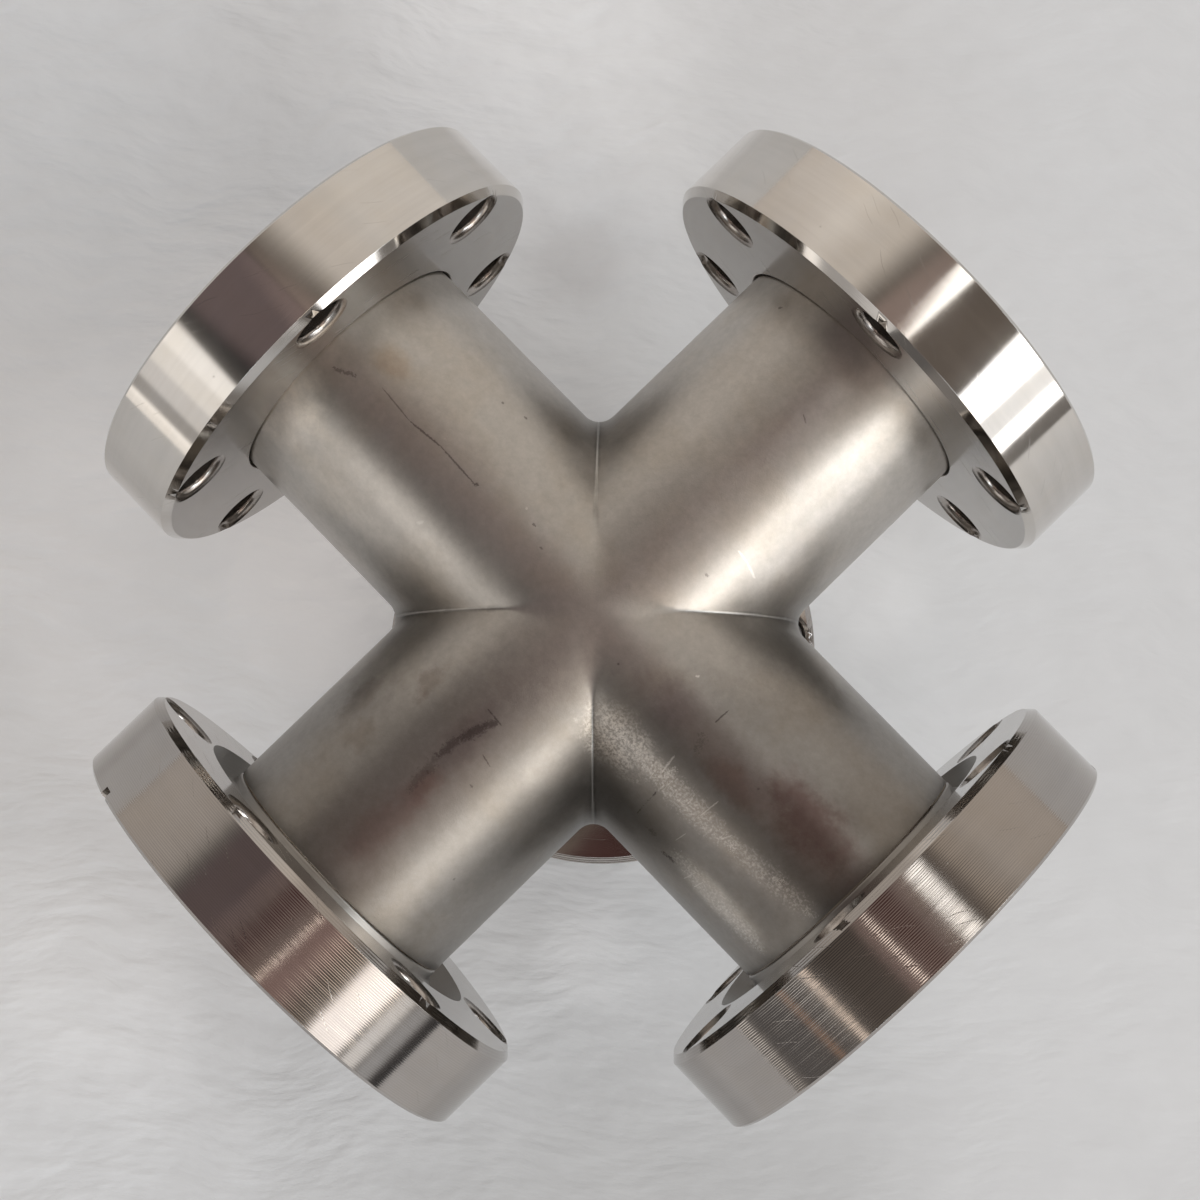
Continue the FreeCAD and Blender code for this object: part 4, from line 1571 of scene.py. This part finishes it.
PANELS: tuple[SkyPanel, ...] = (
    SkyPanel(0.0, 20.0, 200.0, 25.0, 20.0, (0.225, 0.205, 0.19)),
    SkyPanel(45.0, 62.0, 130.0, 16.0, 12.0, (0.135, 0.108, 0.088)),
    SkyPanel(130.0, 26.0, 32.0, 41.0, 14.0, (0.58, 0.545, 0.50)),
    SkyPanel(178.0, 18.0, 20.0, 30.0, 14.0, (0.38, 0.345, 0.31)),
    SkyPanel(86.0, 22.0, 14.0, 36.0, 10.0, (0.39, 0.34, 0.29)),
    SkyPanel(19.0, 35.0, 13.0, 8.0, 3.0, (4.40, 4.40, 4.40)),
    SkyPanel(19.0, 21.5, 13.0, 5.0, 3.0, (1.10, 1.11, 1.12)),
    SkyPanel(19.0, 12.0, 13.0, 4.0, 2.0, (4.50, 4.50, 4.50)),
    SkyPanel(44.0, 36.0, 12.0, 7.0, 5.0, (6.70, 7.30, 7.70)),
    SkyPanel(44.0, 22.0, 12.0, 7.0, 5.0, (1.25, 1.30, 1.45)),
    SkyPanel(4.0, 55.0, 10.0, 12.0, 8.0, (1.30, 1.12, 0.95)),
    SkyPanel(2.0, 33.0, 5.0, 8.0, 4.0, (3.30, 2.95, 2.40)),
    SkyPanel(-14.0, 36.0, 14.0, 9.0, 3.0, (1.80, 1.72, 1.68)),
    SkyPanel(-9.0, 1.0, 13.0, 4.0, 3.0, (-0.17, -0.155, -0.14)),
    SkyPanel(-16.0, 20.0, 14.0, 4.0, 3.0, (1.05, 1.05, 1.04)),
    SkyPanel(-16.0, 10.0, 14.0, 4.0, 4.0, (0.34, 0.36, 0.38)),
    SkyPanel(-40.0, 38.0, 10.0, 8.0, 6.0, (4.10, 4.60, 4.90)),
    SkyPanel(-50.0, 20.0, 18.0, 10.0, 8.0, (0.29, 0.32, 0.36)),
    SkyPanel(-108.0, 38.0, 19.0, 5.0, 3.0, (1.15, 1.12, 1.08)),
    SkyPanel(-108.0, 28.0, 19.0, 5.0, 3.0, (0.90, 0.87, 0.83)),
    SkyPanel(-108.0, 18.0, 19.0, 5.0, 3.0, (0.64, 0.63, 0.62)),
    SkyPanel(-108.0, 8.0, 19.0, 5.0, 3.0, (0.24, 0.24, 0.24)),
    SkyPanel(-106.0, 1.0, 20.0, 4.5, 3.0, (1.05, 1.00, 0.94)),
    SkyPanel(-78.0, 29.0, 8.0, 1.6, 1.6, (0.30, 0.15, 0.07)),
    SkyPanel(69.0, 68.5, 14.0, 4.9, 2.6, (2.55, 2.52, 2.44)),
    SkyPanel(-80.0, 43.5, 7.0, 2.0, 1.4, (1.55, 1.30, 1.10)),
    SkyPanel(-82.0, 22.0, 8.0, 15.0, 6.0, (-0.10, -0.09, -0.08)),
    SkyPanel(62.0, 74.0, 16.0, 4.0, 4.0, (0.12, 0.11, 0.10)),
    SkyPanel(-35.0, 73.8, 6.0, 1.7, 1.4, (3.00, 2.65, 2.35)),
    SkyPanel(-20.0, 66.0, 30.0, 8.0, 8.0, (0.21, 0.12, 0.115)),
    SkyPanel(0.0, 78.0, 200.0, 5.0, 4.0, (0.22, 0.16, 0.145)),
    SkyPanel(0.0, 90.0, 200.0, 7.0, 3.0, (0.07, 0.015, 0.012)),
    SkyPanel(-150.0, 62.0, 32.0, 12.0, 8.0, (0.15, 0.11, 0.11)),
)


def finishes() -> dict[tuple[Surface, bool], Finish]:
    """Returns the finish of each surface, on fixed (False) and turning (True) flanges."""
    return {
        (Surface.RIM, False): TurnedSteel(
            colour=(0.60, 0.575, 0.545), roughness=0.085, pitch=0.16, depth=0.0012, uneven=1.0,
        ),
        (Surface.RIM, True): TurnedSteel(
            colour=(0.425, 0.40, 0.38), roughness=0.105, pitch=0.3, depth=0.008, uneven=0.3, contrast=0.14,
        ),
        (Surface.FACED, False): FacedSteel(),
        (Surface.FACED, True): FacedSteel(colour=(0.44, 0.418, 0.396), roughness=0.14),
        (Surface.SEAL, False): FacedSteel(colour=(0.64, 0.62, 0.60), roughness=0.12, pitch=0.12, depth=0.0008, name="seal_steel"),
        (Surface.DRILLED, False): DrilledSteel(),
        (Surface.BLASTED, False): BlastedSteel(marks=MARKS, patches=PATCHES, scrapes=SCRAPES),
        (Surface.BORE, False): BoreSteel(),
        (Surface.WELD, False): WeldSteel(),
        # The dark neck finish is painted shade: the hub's neck and boss and the bolt rings' recesses lie in shade
        # behind the rings.
        (Surface.NECK, False): TurnedSteel(
            colour=(0.27, 0.254, 0.235), roughness=0.38, pitch=0.35, depth=0.01, uneven=0.8, name="shaded_neck_steel",
        ),
        (Surface.WIRE, False): SpringSteel(),
    }


def main() -> None:
    """Builds the dressed part and its studio."""
    logging.basicConfig(level=logging.INFO, format="%(name)s: %(message)s")
    bpy.context.scene.view_settings.view_transform = "Standard"
    store = MaterialStore(finishes())
    CrossBody().build(store)
    for port, place in PORTS.items():
        if place.turning:
            BoltRing(port, body="ring_" + port.value).build(store)
            WeldHub(port).build(store)
            RetainingWire(port).build(store)
        else:
            Flange(port).build(store)
    studio = Studio(panels=PANELS)
    studio.build_board(store, PaintedBoard(tones=BOARD_TONES))
    studio.build_sky()
    studio.build_camera()
    bpy.context.view_layer.update()


if __name__ == "__main__":
    main()
